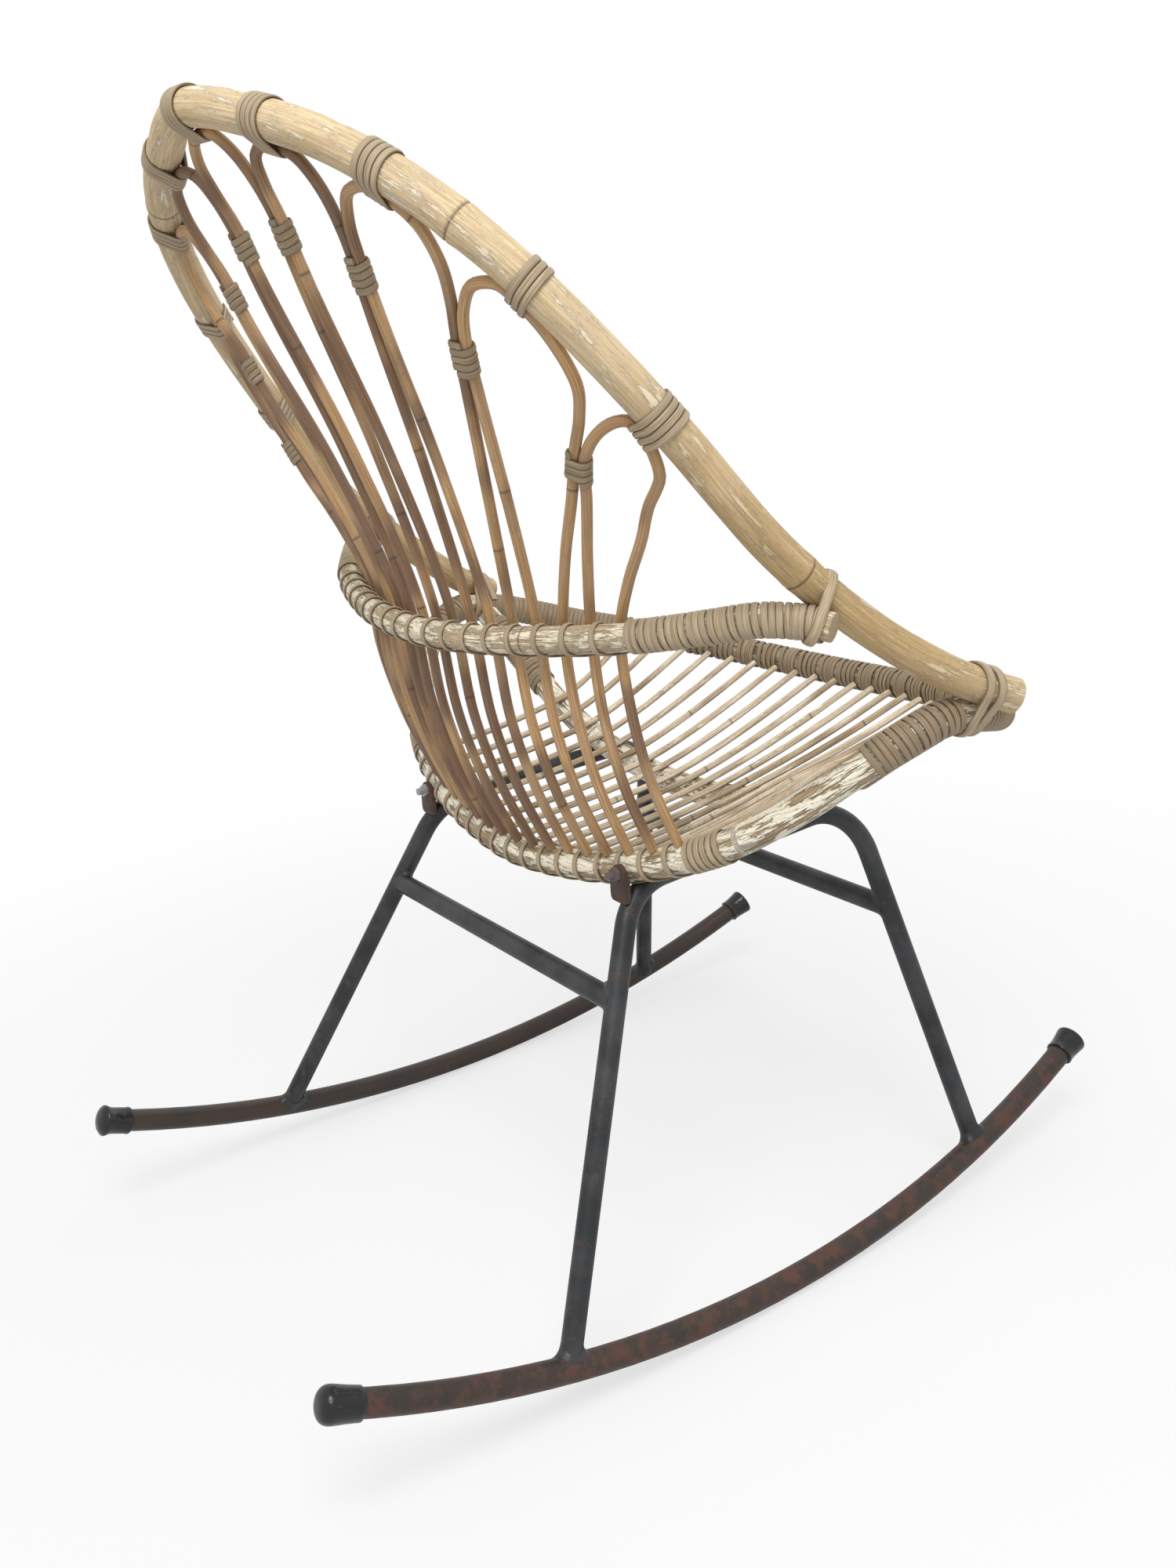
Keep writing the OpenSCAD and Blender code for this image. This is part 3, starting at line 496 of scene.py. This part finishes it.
# Back arches
# Nine thin stems are bent to loops whose feet stand on the seat ring. They run from ochre to
# grey-brown, each in its own shade, with a joint every hand's breadth or two.
SPINDLE_D, SPINDLE_SIDES, SPINDLE_FINE = 0.0075, 6, 14
SPINDLE_RUNS, MOST_JOINTS, END_ROOM = (0.13, 0.36), 12, 0.01
SPINDLE_TONES = [0.55, 0.9, 0.3, 1.1, 0.65, 0.95, 0.4, -0.1, 0.15]


def joints_of(pole, low, high):
    """Lengths of a stem's joints, a chance step between low and high apart."""
    steps = np.cumsum(chance.uniform(low, high, MOST_JOINTS))
    return list(steps[steps < pole.total - END_ROOM])


spindle_finish = rattan("spindle_finish", paint(222, 180, 127), paint(165, 127, 85),
                        paint(188, 157, 123), paint(222, 188, 142), flaking=0.12, gloss=0.4,
                        pits=0.3, cells=90, shade=(0.42, 0.39, 0.45, 1.0), drift=1.5, bare=0.5)
arches = []
for k, tone in enumerate(SPINDLE_TONES, 1):
    arch = Pole(rings_of(f"back_arch_{k}", SPINDLE_D, SPINDLE_SIDES), SPINDLE_D, POLE_STEP)
    arches.append(arch)
    piece(f"back_arch_{k}_stem", [stem(arch, SPINDLE_FINE, joints_of(arch, *SPINDLE_RUNS), tone)],
          spindle_finish, "spindle_rattan", f"back_arch_{k}")


# Seat rods
# Eighteen thin straight rattan rods run from the front rail over the bearer to the seat
# ring's rear. They are paler than the spindles, and painted shade darkens their undersides.
ROD_D, ROD_SIDES, ROD_FINE, ROD_COUNT, ROD_STEP = 0.0055, 6, 12, 18, 0.005
ROD_RUNS, ROD_TONES = (0.08, 0.3), (-0.3, 0.5)

# The rods get strong painted shade on their undersides.
rod_finish = rattan("rod_finish", paint(255, 243, 218), paint(176, 150, 116),
                    paint(200, 176, 142), paint(246, 230, 196), flaking=0.25, gloss=0.45,
                    pits=0.5, cells=90, shade=(0.56, 0.5, 0.44, 1.0), drift=1.6, underside_shade=0.85)
rod_poles = []
for k in range(1, ROD_COUNT + 1):
    rod = Pole(rings_of(f"seat_rod_{k}", ROD_D, ROD_SIDES), ROD_D, ROD_STEP)
    rod_poles.append(rod)
    piece(f"seat_rod_{k}_stem",
          [stem(rod, ROD_FINE, joints_of(rod, *ROD_RUNS), chance.uniform(*ROD_TONES))],
          rod_finish, "rod_rattan", f"seat_rod_{k}")


# Bindings on the hoop and between the arches
# Flat cane peel binds each arch to the hoop, and ties the legs of neighbouring arches
# together a hand's breadth below it. It has greyed, and painted shade darkens its edges.
CANE_W, CANE_T, CANE_STEP, CANE_SIDES = 0.0046, 0.0018, 0.0025, 12
SQUARED, CROWNED = 0.75, 0.9
BINDING_TURNS, BINDING_PITCH = [4, 3, 4, 4, 4, 4, 4, 3, 4], 0.0049
TIE_TURNS, TIE_PITCH = 4, 0.0047
CLEAR, LASH_POINTS = 0.0002, 240
CANE_FIBRES, CANE_CLOUDS, CANE_RELIEF = (1500, 900, 45), (120, 120, 26), 0.0002


def strip(middle, out, width=CANE_W, thick=CANE_T):
    """Sheet of a flat cane that runs along the points middle, with its face towards out. Its
    section is an oblong with round sides: powers of the cosine and sine of the turn."""
    walked = np.append(0, np.cumsum(np.linalg.norm(np.diff(middle, axis=0), axis=1)))
    s = np.linspace(0, walked[-1], round(walked[-1] / CANE_STEP) + 1)
    middle, out = (np.stack([np.interp(s, walked, v[:, k]) for k in range(3)], 1)
                   for v in (middle, out))
    ahead = unit(np.gradient(middle, axis=0))
    out = unit(out - ahead * (out * ahead).sum(1, keepdims=True))
    across = np.cross(out, ahead)
    turn = np.arange(CANE_SIDES) * 2 * math.pi / CANE_SIDES
    u = width / 2 * np.sign(np.cos(turn)) * abs(np.cos(turn)) ** SQUARED
    v = thick / 2 * np.sign(np.sin(turn)) * abs(np.sin(turn)) ** CROWNED
    points = middle[:, None] + u[None, :, None] * across[:, None] + v[None, :, None] * out[:, None]
    rows = np.ones((len(s), 1))
    each = np.ones(CANE_SIDES)
    start = chance.uniform(0, GRAIN_STARTS)
    grain = np.stack([rows * u, rows * v, (s + start)[:, None] * each], -1)
    return {"points": points, "closed": False, "grain": grain, "edge": rows * abs(u) * 2 / width,
            "below": -out[:, 2:] * each}


def lash(first, s, second, z, turns, pitch=BINDING_PITCH, width=CANE_W, thick=CANE_T, over=0.0):
    """Cane bound round two poles, at the lengths s and z along them. The line follows the
    hull of two circles, one round each pole, and climbs along them turn by turn. The second
    pole may carry other cane already, over thick."""
    (p, h), (q, k) = first.at(s), second.at(z)
    k = k * np.sign(h @ k)
    t = unit(h + k)
    e = unit(q - p - t * ((q - p) @ t))
    f = np.cross(t, e)
    turn = np.linspace(0, 2 * math.pi * turns, round(LASH_POINTS * turns) + 1)[:, None]
    turn = turn + math.pi / 2
    n = np.cos(turn) * e + np.sin(turn) * f
    rise = pitch * ((turn - math.pi / 2) / (2 * math.pi) - turns / 2)
    c = first.radius + CLEAR + thick / 2
    d = second.radius + CLEAR + thick / 2 + over
    a = p + h * rise / (h @ t)
    b = q + k * (rise + (p - q) @ t) / (k @ t)
    on_first = ((a - b) * n).sum(1, keepdims=True) + c - d > 0
    return strip(np.where(on_first, a + c * n, b + d * n), n, width, thick)


def cane(name, light, dark, grey):
    """Cane peel: fine fibres along it, grey weathered stretches, and painted shade along its edges
    and on its underside.
    """
    material, start = started(name)
    grain = start.field("grain", "Vector")
    fibre = grain.stretch(*CANE_FIBRES).noise(3.0)
    cloud = grain.stretch(*CANE_CLOUDS).noise(3.0)
    edge = start.field("edge")
    colour = fibre.ramp(0.32, 0.68).mix(dark, light)
    colour = (cloud.ramp(0.4, 0.62) * 0.75).mix(colour, grey)
    # Painted shade in the crevices along the cane's edges, where it meets the next turn and the
    # pole.
    edge_shade = (edge + (fibre - 0.5) * 0.5).ramp(0.8, 1.0) * 0.75
    colour = edge_shade.mix(colour, GRIME_AND_SHADE)
    # Painted shade: the faces that look down are darkened.
    colour = (start.field("below").ramp(0.2, 1.0) * 0.35).mix(colour, GRIME_AND_SHADE)
    height = fibre * 0.35 + cloud * 0.3
    return finished(material, {"Base Color": colour, "Roughness": fibre * 0.2 + 0.5,
                               "Normal": height.bump(CANE_RELIEF)})


def solid_middles(node):
    """Middle of each separate solid of a CAD node."""
    points, edges = corners_of(node)
    return middles(points, *grouped(len(points), edges))


def meeting(line, pole):
    """Point of a line at which it passes nearest to a pole."""
    return line[np.argmin(np.linalg.norm(line[:, None] - pole.line[None], axis=2).min(1))]


cane_finish = cane("cane_finish", paint(204, 184, 152), paint(146, 126, 96),
                   paint(168, 152, 126))
dull_cane = cane("dull_cane", paint(176, 154, 122), paint(116, 98, 74), paint(142, 126, 102))
bindings = []
for arch, turns in zip(arches, BINDING_TURNS):
    top = meeting(arch.line, hoop)
    bindings.append(lash(hoop, hoop.near(top), arch, arch.near(top), turns))
piece("hoop_binding_cane", bindings, cane_finish, "cane", "hoop_bindings")

ties = []
for at in solid_middles("arch_ties"):
    left, right = sorted(arches, key=lambda a: np.linalg.norm(a.line - at, axis=1).min())[:2]
    ties.append(lash(left, left.near(at), right, right.near(at), TIE_TURNS, TIE_PITCH))
piece("arch_tie_cane", ties, dull_cane, "cane", "arch_ties")


# Loops at the arms and the seat's corners
# Thick half-round cane: one loop holds each end of the lumbar ring against the hoop, and a
# double loop holds the hoop down on the seat ring.
LOOP_W, LOOP_T = 0.0072, 0.0028
ARM_TURNS, ARM_PITCH = 1.1, 0.004
CORNER_TURNS, CORNER_PITCH = 2.1, 0.0088

arm_loops = [lash(hoop, hoop.near(at), lumbar, lumbar.near(at), ARM_TURNS, ARM_PITCH, LOOP_W,
                  LOOP_T, CANE_T)
             for at in solid_middles("arm_loops")]
piece("arm_loop_cane", arm_loops, cane_finish, "cane", "arm_loops")
corners = [ring.near(at) for at in solid_middles("corner_loops")]
corner_loops = [lash(hoop, hoop.near(ring.at(s)[0]), ring, s, CORNER_TURNS, CORNER_PITCH,
                     LOOP_W, LOOP_T, CANE_T)
                for s in corners]
piece("corner_loop_cane", corner_loops, cane_finish, "cane", "corner_loops")


# Open windings
# One long cane goes round the seat ring, with a turn in each gap between the spindles' feet,
# and another round the lumbar ring. Each steps over to the next gap on the pole's underside.
END_TURNS, END_GAP, END_PITCH = 6, 0.008, 0.0052
UNDERSIDE, KEPT, TURN_POINTS = 0.5, 0.75, 48
SWIFT, STEADY = 0.8, 0.2


def wind(pole, s, turn):
    """Cane wound on a pole: at the length s it stands at that turn from straight up."""
    middle, ahead = pole.at(s)
    up = unit(np.array([0, 0, 1.0]) - ahead * ahead[:, 2:])
    side = np.cross(ahead, up)
    out = np.cos(turn)[:, None] * up + np.sin(turn)[:, None] * side
    return strip(middle + (pole.radius + CLEAR + CANE_T / 2) * out, out)


def one_a_gap(pole, stations, step_at=UNDERSIDE, rest=KEPT):
    """Cane with one turn at each station. It keeps to its station for a share rest of the
    turn and then moves on smoothly; the move is half done step_at of a turn past the top. A
    steady creep is added all round."""
    stations = np.append(stations, 2 * stations[-1] - stations[-2])
    t = np.linspace(0, len(stations) - 1, TURN_POINTS * (len(stations) - 1), endpoint=False)
    whole = np.floor(t)
    part = np.clip((t - whole - rest) / (1 - rest), 0, 1)
    move = SWIFT * part**2 * (3 - 2 * part) + STEADY * (t - whole)
    s = np.interp(whole + move, np.arange(len(stations)), stations)
    return wind(pole, s, 2 * math.pi * (t - whole - (1 + rest) / 2 + step_at))


def between(lengths):
    """Midway lengths between neighbours."""
    lengths = np.sort(lengths)
    return (lengths[1:] + lengths[:-1]) / 2


feet = [ring.near(arch.line[end]) for arch in arches for end in (0, -1)]
group = END_GAP + END_PITCH * np.arange(END_TURNS)
ring_gaps = [min(feet) - group[::-1], between(feet), max(feet) + group]
piece("ring_winding_cane", [one_a_gap(ring, np.concatenate(ring_gaps))],
      cane_finish, "cane", "ring_winding")
legs = [leg for arch in arches for leg in np.array_split(arch.line, 2)]
lumbar_gaps = between([lumbar.near(meeting(leg, lumbar)) for leg in legs])
piece("lumbar_winding_cane", [one_a_gap(lumbar, lumbar_gaps)], cane_finish, "cane",
      "lumbar_winding")


# Close windings
# Cane covers the lumbar ring's ends, the seat ring before its corners and the bearer's ends,
# turn against turn.
CLOSE_PITCH, CLOSE_POINTS, UNEVEN, UNEVEN_WAVE = 0.0047, 40, 0.09, 1.9
CORNER_WRAP, LUMBAR_BARE = (0.013, 0.076), 0.006


def close(pole, start, end):
    """Cane wound turn against turn from one length to another. A slow sine, which fades out
    over the first and the last turn, makes the pitch uneven."""
    turns = (end - start) / CLOSE_PITCH
    t = np.linspace(0, turns, round(turns * CLOSE_POINTS) + 1)
    fade = np.minimum(1, np.minimum(t, turns - t))
    uneven = UNEVEN * np.sin(UNEVEN_WAVE * t + start * 50) * fade
    return wind(pole, start + CLOSE_PITCH * (t + uneven), 2 * math.pi * t)


(_, lumbar_first), (lumbar_last, _) = sorted(covered(lumbar, "lumbar_end_wraps"))
piece("lumbar_end_cane", [close(lumbar, LUMBAR_BARE, lumbar_first),
                          close(lumbar, lumbar_last, lumbar.total - LUMBAR_BARE)],
      cane_finish, "cane", "lumbar_end_wraps")
rail_near, rail_far = min(corners), max(corners)
piece("ring_corner_cane", [close(ring, rail_near - CORNER_WRAP[1], rail_near - CORNER_WRAP[0]),
                           close(ring, rail_far + CORNER_WRAP[0], rail_far + CORNER_WRAP[1])],
      dull_cane, "cane", "ring_corner_wraps")
piece("bearer_end_cane", [close(bearer, *span) for span in covered(bearer, "bearer_end_wraps")],
      dull_cane, "cane", "bearer_end_wraps")


# Front rail
# The seat's front is covered with cane: four turns in each gap between the rods, and a
# strand that crosses over behind each rod's end.
TURNS_A_GAP, ROD_ROOM = 4, 0.005
TOP, RAIL_KEPT = 0.0, 0.55

rod_ends = np.sort([ring.near(min(rod.line[[0, -1]], key=lambda p: p[1])) for rod in rod_poles])
shares = np.linspace(0, 1, TURNS_A_GAP)
stations = [a + ROD_ROOM + (b - a - 2 * ROD_ROOM) * shares for a, b in zip(rod_ends, rod_ends[1:])]
before = np.arange(rail_near + CORNER_WRAP[0], rod_ends[0] - ROD_ROOM / 2, CLOSE_PITCH)
after = np.arange(rod_ends[-1] + ROD_ROOM, rail_far - CORNER_WRAP[0], CLOSE_PITCH)
weave = one_a_gap(ring, np.concatenate([before, *stations, after]), TOP, RAIL_KEPT)
piece("front_weave_cane", [weave], dull_cane, "cane", "front_weave")


# Steel base
# Rockers, side frames and cross bars are bent tube, welded together. The frames are near
# black, and the rockers have rusted to brown, more so on the sitter's right. The screws that
# hold the shell to the base are bright.
STEEL_CLOUDS, GRIT, PATCHES = (26, 26, 26), (520, 520, 520), (70, 70, 70)
RUST_REACH, STEEL_RELIEF = 0.4, 0.0002


def steel(name, base, sheen, rust, rusting, metallic=0.35):
    """Old dark steel: a cloudy skin with rust that has come through in spots and patches.
    rusting is the share that has rusted, on the sitter's left and on the right."""
    material, start = started(name)
    place = start.node("TexCoord", out="Object")
    cloud = place.stretch(*STEEL_CLOUDS).noise(4.0)
    grit = place.stretch(*GRIT).noise(3.0)
    patch = place.stretch(*PATCHES).noise(5.0, 0.65) + (grit - 0.5) * 0.25
    left = start.node("SeparateXYZ", (), {0: place}).ramp(-0.01, 0.01)
    patch = patch + left * (RUST_REACH * (rusting[0] - rusting[1])) + RUST_REACH * rusting[1]
    rusted = patch.ramp(0.66, 0.86)
    spots = grit.ramp(0.66, 0.72) * cloud.ramp(0.5, 0.62)
    colour = cloud.ramp(0.35, 0.65).mix(base, sheen)
    colour = (rusted.most(spots) * 0.85).mix(colour, rust)
    rough = 0.42 + rusted * 0.3 + (grit - 0.5) * 0.2
    return finished(material, {"Base Color": colour, "Roughness": rough,
                               "Metallic": (1 - rusted) * metallic,
                               "Normal": (grit * 0.4 + rusted * 0.6).bump(STEEL_RELIEF)})


def dress(finish, *nodes):
    """Gives CAD nodes that stay as they are a finish."""
    for node in nodes:
        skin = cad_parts[node].data
        skin.materials.clear()
        skin.materials.append(finish)


frame_finish = steel("frame_finish", paint(39, 41, 43), paint(62, 63, 65), paint(86, 62, 50),
                     (0.26, 0.26))
dress(frame_finish, "side_frame_left", "side_frame_right", "cross_bar_rear", "cross_bar_front")
dress(steel("rocker_finish", paint(66, 53, 46), paint(55, 49, 45), paint(90, 58, 46),
            (0.1, 0.55)), "rocker_left", "rocker_right")
dress(steel("screw_finish", paint(176, 176, 178), paint(196, 196, 198), paint(84, 60, 48),
            (0.1, 1.2), metallic=0.9), "ring_screws")


# Welds
# The legs stand on the rockers, and the cross bars between the legs, each with a bead of
# melted steel round its seam that flares out on to the other tube.
ROCKER_D, LEG_D, BAR_D, TUBE_SIDES = 0.019, 0.016, 0.017, 42
WELD, BAR_WELD, WELD_SIDES, WELD_ROWS = 0.0085, 0.6, 48, 7
SUNK, ROOT = 0.0002, 0.0015
FEET_BELOW, TRACK_STEP = 0.075, 0.002


def weld(foot, away, thin, middle, along, thick, size=WELD):
    """Fillet where a tube of radius thin stands on a tube of radius thick. The seam lies where
    the thin tube's side is as far from the thick tube's middle line as its radius. A bow,
    drawn as a quadratic curve towards the seam, joins a point up the thin tube to one out on
    the thick one. Sines make its reach a little uneven, and its edges are sunk in the tubes."""
    turn = np.arange(WELD_SIDES)[:, None] * 2 * math.pi / WELD_SIDES
    e = unit(along - away * (along @ away))
    out = np.cos(turn) * e + np.sin(turn) * np.cross(away, e)
    start = foot + thin * out - middle
    flat = start - along * (start @ along)[:, None]
    rise = away - along * (away @ along)
    b, c = flat @ rise, (flat**2).sum(1) - thick**2
    t = (np.sqrt(np.maximum(b**2 - (rise @ rise) * c, 0)) - b) / (rise @ rise)
    seam = middle + start + t[:, None] * away
    reach = size * (1 + 0.12 * np.sin(5 * turn + 70 * foot[0]) + 0.08 * np.sin(13 * turn))
    up = seam + reach * away - SUNK * out
    side = seam + reach * out - middle
    run = along * (side @ along)[:, None]
    side = middle + run + unit(side - run) * (thick - SUNK)
    w = np.linspace(0, 1, WELD_ROWS)[None, :, None]
    bow = (1 - w) ** 2 * up[:, None] + 2 * w * (1 - w) * seam[:, None] + w**2 * side[:, None]
    inner = seam - ROOT * (away + out)
    return {"points": np.concatenate([bow, inner[:, None]], 1), "closed": True}


def mirrored(sheet):
    """The same sheet on the chair's other side, with its columns turned to face outwards."""
    return {**sheet, "points": (sheet["points"] * [-1, 1, 1])[:, ::-1]}


track = Pole(rings_of("rocker_left", ROCKER_D, TUBE_SIDES), ROCKER_D, TRACK_STEP)
bends = rings_of("side_frame_left", LEG_D, TUBE_SIDES, around=0)
skin = corners_of("side_frame_left")[0]
welds = []
for half, bar in ((1, "cross_bar_rear"), (-1, "cross_bar_front")):
    foot = skin[(skin[:, 2] < FEET_BELOW) & (skin[:, 1] * half > 0)].mean(0)
    bend = bends[np.argmin(np.linalg.norm(bends - foot, axis=1))]
    up = unit(bend - foot)
    middle, along = track.at(track.near(foot))
    welds.append(weld(foot, up, LEG_D / 2, middle, along, ROCKER_D / 2))
    start = corners_of(bar)[0].mean(0)
    welds.append(weld(start, np.array([-1.0, 0, 0]), BAR_D / 2,
                      foot + up * (start[2] - foot[2]) / up[2], up, LEG_D / 2, BAR_WELD * WELD))
piece("frame_welds", welds + [mirrored(w) for w in welds], frame_finish, "frame_steel")


# Tabs
# A tongue of rusty plate stands on each side frame behind the seat ring, and a screw through
# its round end holds the ring.
TAB_SIDES, TAB_LEAN, TAPER, WORN = 40, -0.0437, 0.12, 0.9
TAB_LAYERS = np.array([1, 0.75, -0.75, -1])


def tongue(node):
    """Sheet of a plate with a round top and an easy taper, as big as a CAD plate. Its outline
    is an oval, squared off below by powers of its sine and cosine, and drawn four times
    through the plate's thickness: the first and the last lie a little inside, for the worn
    edge. The plate leans as its leg does."""
    points = corners_of(node)[0]
    low, high = points.min(0), points.max(0)
    middle, half = (low + high) / 2, (high - low) / 2
    turn = np.arange(TAB_SIDES) * 2 * math.pi / TAB_SIDES
    x, z = np.cos(turn), np.sin(turn)
    x = np.where(z < 0, np.sign(x) * abs(x) ** 0.3, x) * (1 - TAPER * (z + 1) / 2)
    z = np.where(z < 0, -(abs(z) ** 0.5), z)
    inset = np.array([WORN, 1, 1, WORN])[:, None, None]
    depth = TAB_LAYERS[:, None] * np.ones(TAB_SIDES) * half[1]
    lean = TAB_LEAN * z * half[2]
    flat = np.stack([x * half[0], z * half[2]], -1)[None] * inset
    return {"points": np.stack([middle[0] + flat[..., 0], middle[1] + depth + lean,
                                middle[2] + flat[..., 1]], -1), "closed": False}


tab_finish = steel("tab_finish", paint(66, 50, 42), paint(50, 42, 38), paint(84, 56, 44),
                   (0.5, 0.7))
for node in ("ring_tab_left", "ring_tab_right"):
    piece(node + "_tongue", [tongue(node)], tab_finish, "rocker_steel", node)


# Caps
# Black moulded caps are pushed on the rockers' ends. They are glossy, with fine scuffs. They
# are of three patterns: blunt and swelling, flared with a low dome, and flared with a hollow
# end, as both front caps are. Each pattern is pairs of length and radius in millimetres.
SCUFFS, CAP_CLOUDS, CAP_RELIEF = (900, 160, 420), (60, 60, 60), 0.0002
BLUNT_ROWS = np.linspace(0, 1.565, 14)
BLUNT_CAP = [(0, 9.7), (0, 10.8), (0.4, 11.2), (4, 11.3), (10, 11.6), (16, 12.1)] + [
    (20 + 9 * math.sin(a) ** 0.8, 12.4 * math.cos(a) ** 0.7) for a in BLUNT_ROWS]
DOMED_CAP = [(0, 9.7), (0, 11.3), (0.5, 11.7), (1.6, 11.7), (2.4, 11.3), (14, 11.3), (18, 11.7),
             (21.5, 13), (22.4, 13.1), (23.2, 12.6), (25, 10.4), (26.4, 7.4), (27.2, 4),
             (27.5, 0.2)]
FRONT_CAP = [(0, 9.7), (0, 11.1), (0.5, 11.6), (1.8, 11.6), (2.6, 11.2), (9, 11.6), (15, 12.3),
             (19, 13.0), (20.2, 13.0), (20.9, 12.6), (21, 12), (20.4, 11.2), (20, 6), (20, 0.2)]


def moulded(name, colour, scuffed):
    """Glossy moulding: fine scuffs, and a faint cloudiness in its gloss and its surface."""
    material, start = started(name)
    place = start.node("TexCoord", out="Object")
    scuff = place.stretch(*SCUFFS).noise(3.0).ramp(0.58, 0.7)
    cloud = place.stretch(*CAP_CLOUDS).noise(3.0)
    return finished(material, {"Base Color": (scuff * 0.5).mix(colour, scuffed),
                               "Roughness": cloud * 0.12 + 0.14 + scuff * 0.2,
                               "Normal": (scuff * 0.3 + cloud).bump(CAP_RELIEF)})


def turned_on(node, profile):
    """Sheet of a shape turned on the axis of a CAD node, from pairs of length and radius in
    millimetres. The axis is the direction in which the node's spread differs from the other
    two, and the lengths are counted from its end nearer to the chair's middle."""
    points = corners_of(node)[0]
    middle = points.mean(0)
    spread, ways = np.linalg.svd(points - middle, full_matrices=False)[1:]
    axis = ways[np.argmax(abs(spread - np.median(spread)))]
    axis = axis * np.sign(axis[1] * middle[1])
    mouth = middle + axis * ((points - middle) @ axis).min()
    e = unit(np.cross(axis, [0, 0, 1.0]))
    f = np.cross(axis, e)
    length, radius = np.array(profile).T[:, :, None, None] / 1000
    turn = np.arange(TUBE_SIDES)[None, :, None] * 2 * math.pi / TUBE_SIDES
    return {"points": mouth + length * axis + radius * (np.cos(turn) * e + np.sin(turn) * f),
            "closed": False}


cap_finish = moulded("cap_finish", paint(12, 12, 14), paint(46, 46, 48))
for node, profile in (("rear_cap_left", DOMED_CAP), ("rear_cap_right", BLUNT_CAP),
                      ("front_cap_left", FRONT_CAP), ("front_cap_right", FRONT_CAP)):
    piece(node + "_moulding", [turned_on(node, profile)], cap_finish, "cap", node)


# Floor and light
# A plain white floor that fades to the white backdrop and keeps a light shadow, one broad
# lamp high on the camera's left, and a weaker one in front of the chair.
FLOOR_HALF, FLOOR_DROP, FADE_NEAR, FADE_FAR = 8.0, 0.0003, 0.45, 1.3
FLOOR_WHITE, FLOOR_ROUGH, WHITE = (0.93, 0.93, 0.93, 1.0), 0.6, (1.0, 1.0, 1.0, 1.0)
AMBIENT, WHITENED = 0.5, 0.62
KEY_LAMP, FILL_LAMP = ((-1.1, 0.9, 2.6), 1.5, 44.0), ((0.4, -2.0, 1.8), 2.0, 9.0)
LIT = Vector((0, 0, 0.4))

floor_mesh = bpy.data.meshes.new("floor")
floor_mesh.from_pydata([(x * FLOOR_HALF, y * FLOOR_HALF, -FLOOR_DROP)
                        for x, y in ((-1, -1), (1, -1), (1, 1), (-1, 1))], [], [(0, 1, 2, 3)])
floor = bpy.data.objects.new("floor", floor_mesh)
bpy.context.scene.collection.objects.link(floor)
floor_finish, start = started("floor_finish")
floor_mesh.materials.append(floor_finish)
seen = start.node("LightPath", out="Is Camera Ray")
far = start.node("VectorMath", {"operation": "LENGTH"},
                 {0: start.node("TexCoord", out="Object")}, out="Value")
shader = floor_finish.node_tree.nodes["Principled BSDF"]
shader.inputs["Base Color"].default_value = FLOOR_WHITE
shader.inputs["Roughness"].default_value = FLOOR_ROUGH
white = start.node("Emission", (), {"Color": WHITE, "Strength": 1.0})
faded = start.node("MixShader", (), {
    0: (far.ramp(FADE_NEAR, FADE_FAR) * (1 - WHITENED) + WHITENED) * seen,
    1: Wire(start.tree, shader.outputs[0]), 2: white})
start.tree.links.new(faded.socket, floor_finish.node_tree.nodes["Material Output"].inputs[0])

world = bpy.data.worlds.new("backdrop")
bpy.context.scene.world = world
world.use_nodes = True
start = Wire(world.node_tree)
rays = [start.node("LightPath", out=f"Is {kind} Ray")
        for kind in ("Camera", "Glossy", "Transmission")]
background = world.node_tree.nodes["Background"]
background.inputs["Color"].default_value = WHITE
strength = rays[0].most(rays[1]).most(rays[2]) * (1 - AMBIENT) + AMBIENT
world.node_tree.links.new(strength.socket, background.inputs["Strength"])

for name, (place, size, watts) in (("key_lamp", KEY_LAMP), ("fill_lamp", FILL_LAMP)):
    lamp = bpy.data.lights.new(name, "AREA")
    lamp.size, lamp.energy = size, watts
    stand = bpy.data.objects.new(name, lamp)
    stand.location = place
    stand.rotation_mode = "QUATERNION"
    stand.rotation_quaternion = (Vector(place) - LIT).to_track_quat("Z", "Y")
    bpy.context.scene.collection.objects.link(stand)
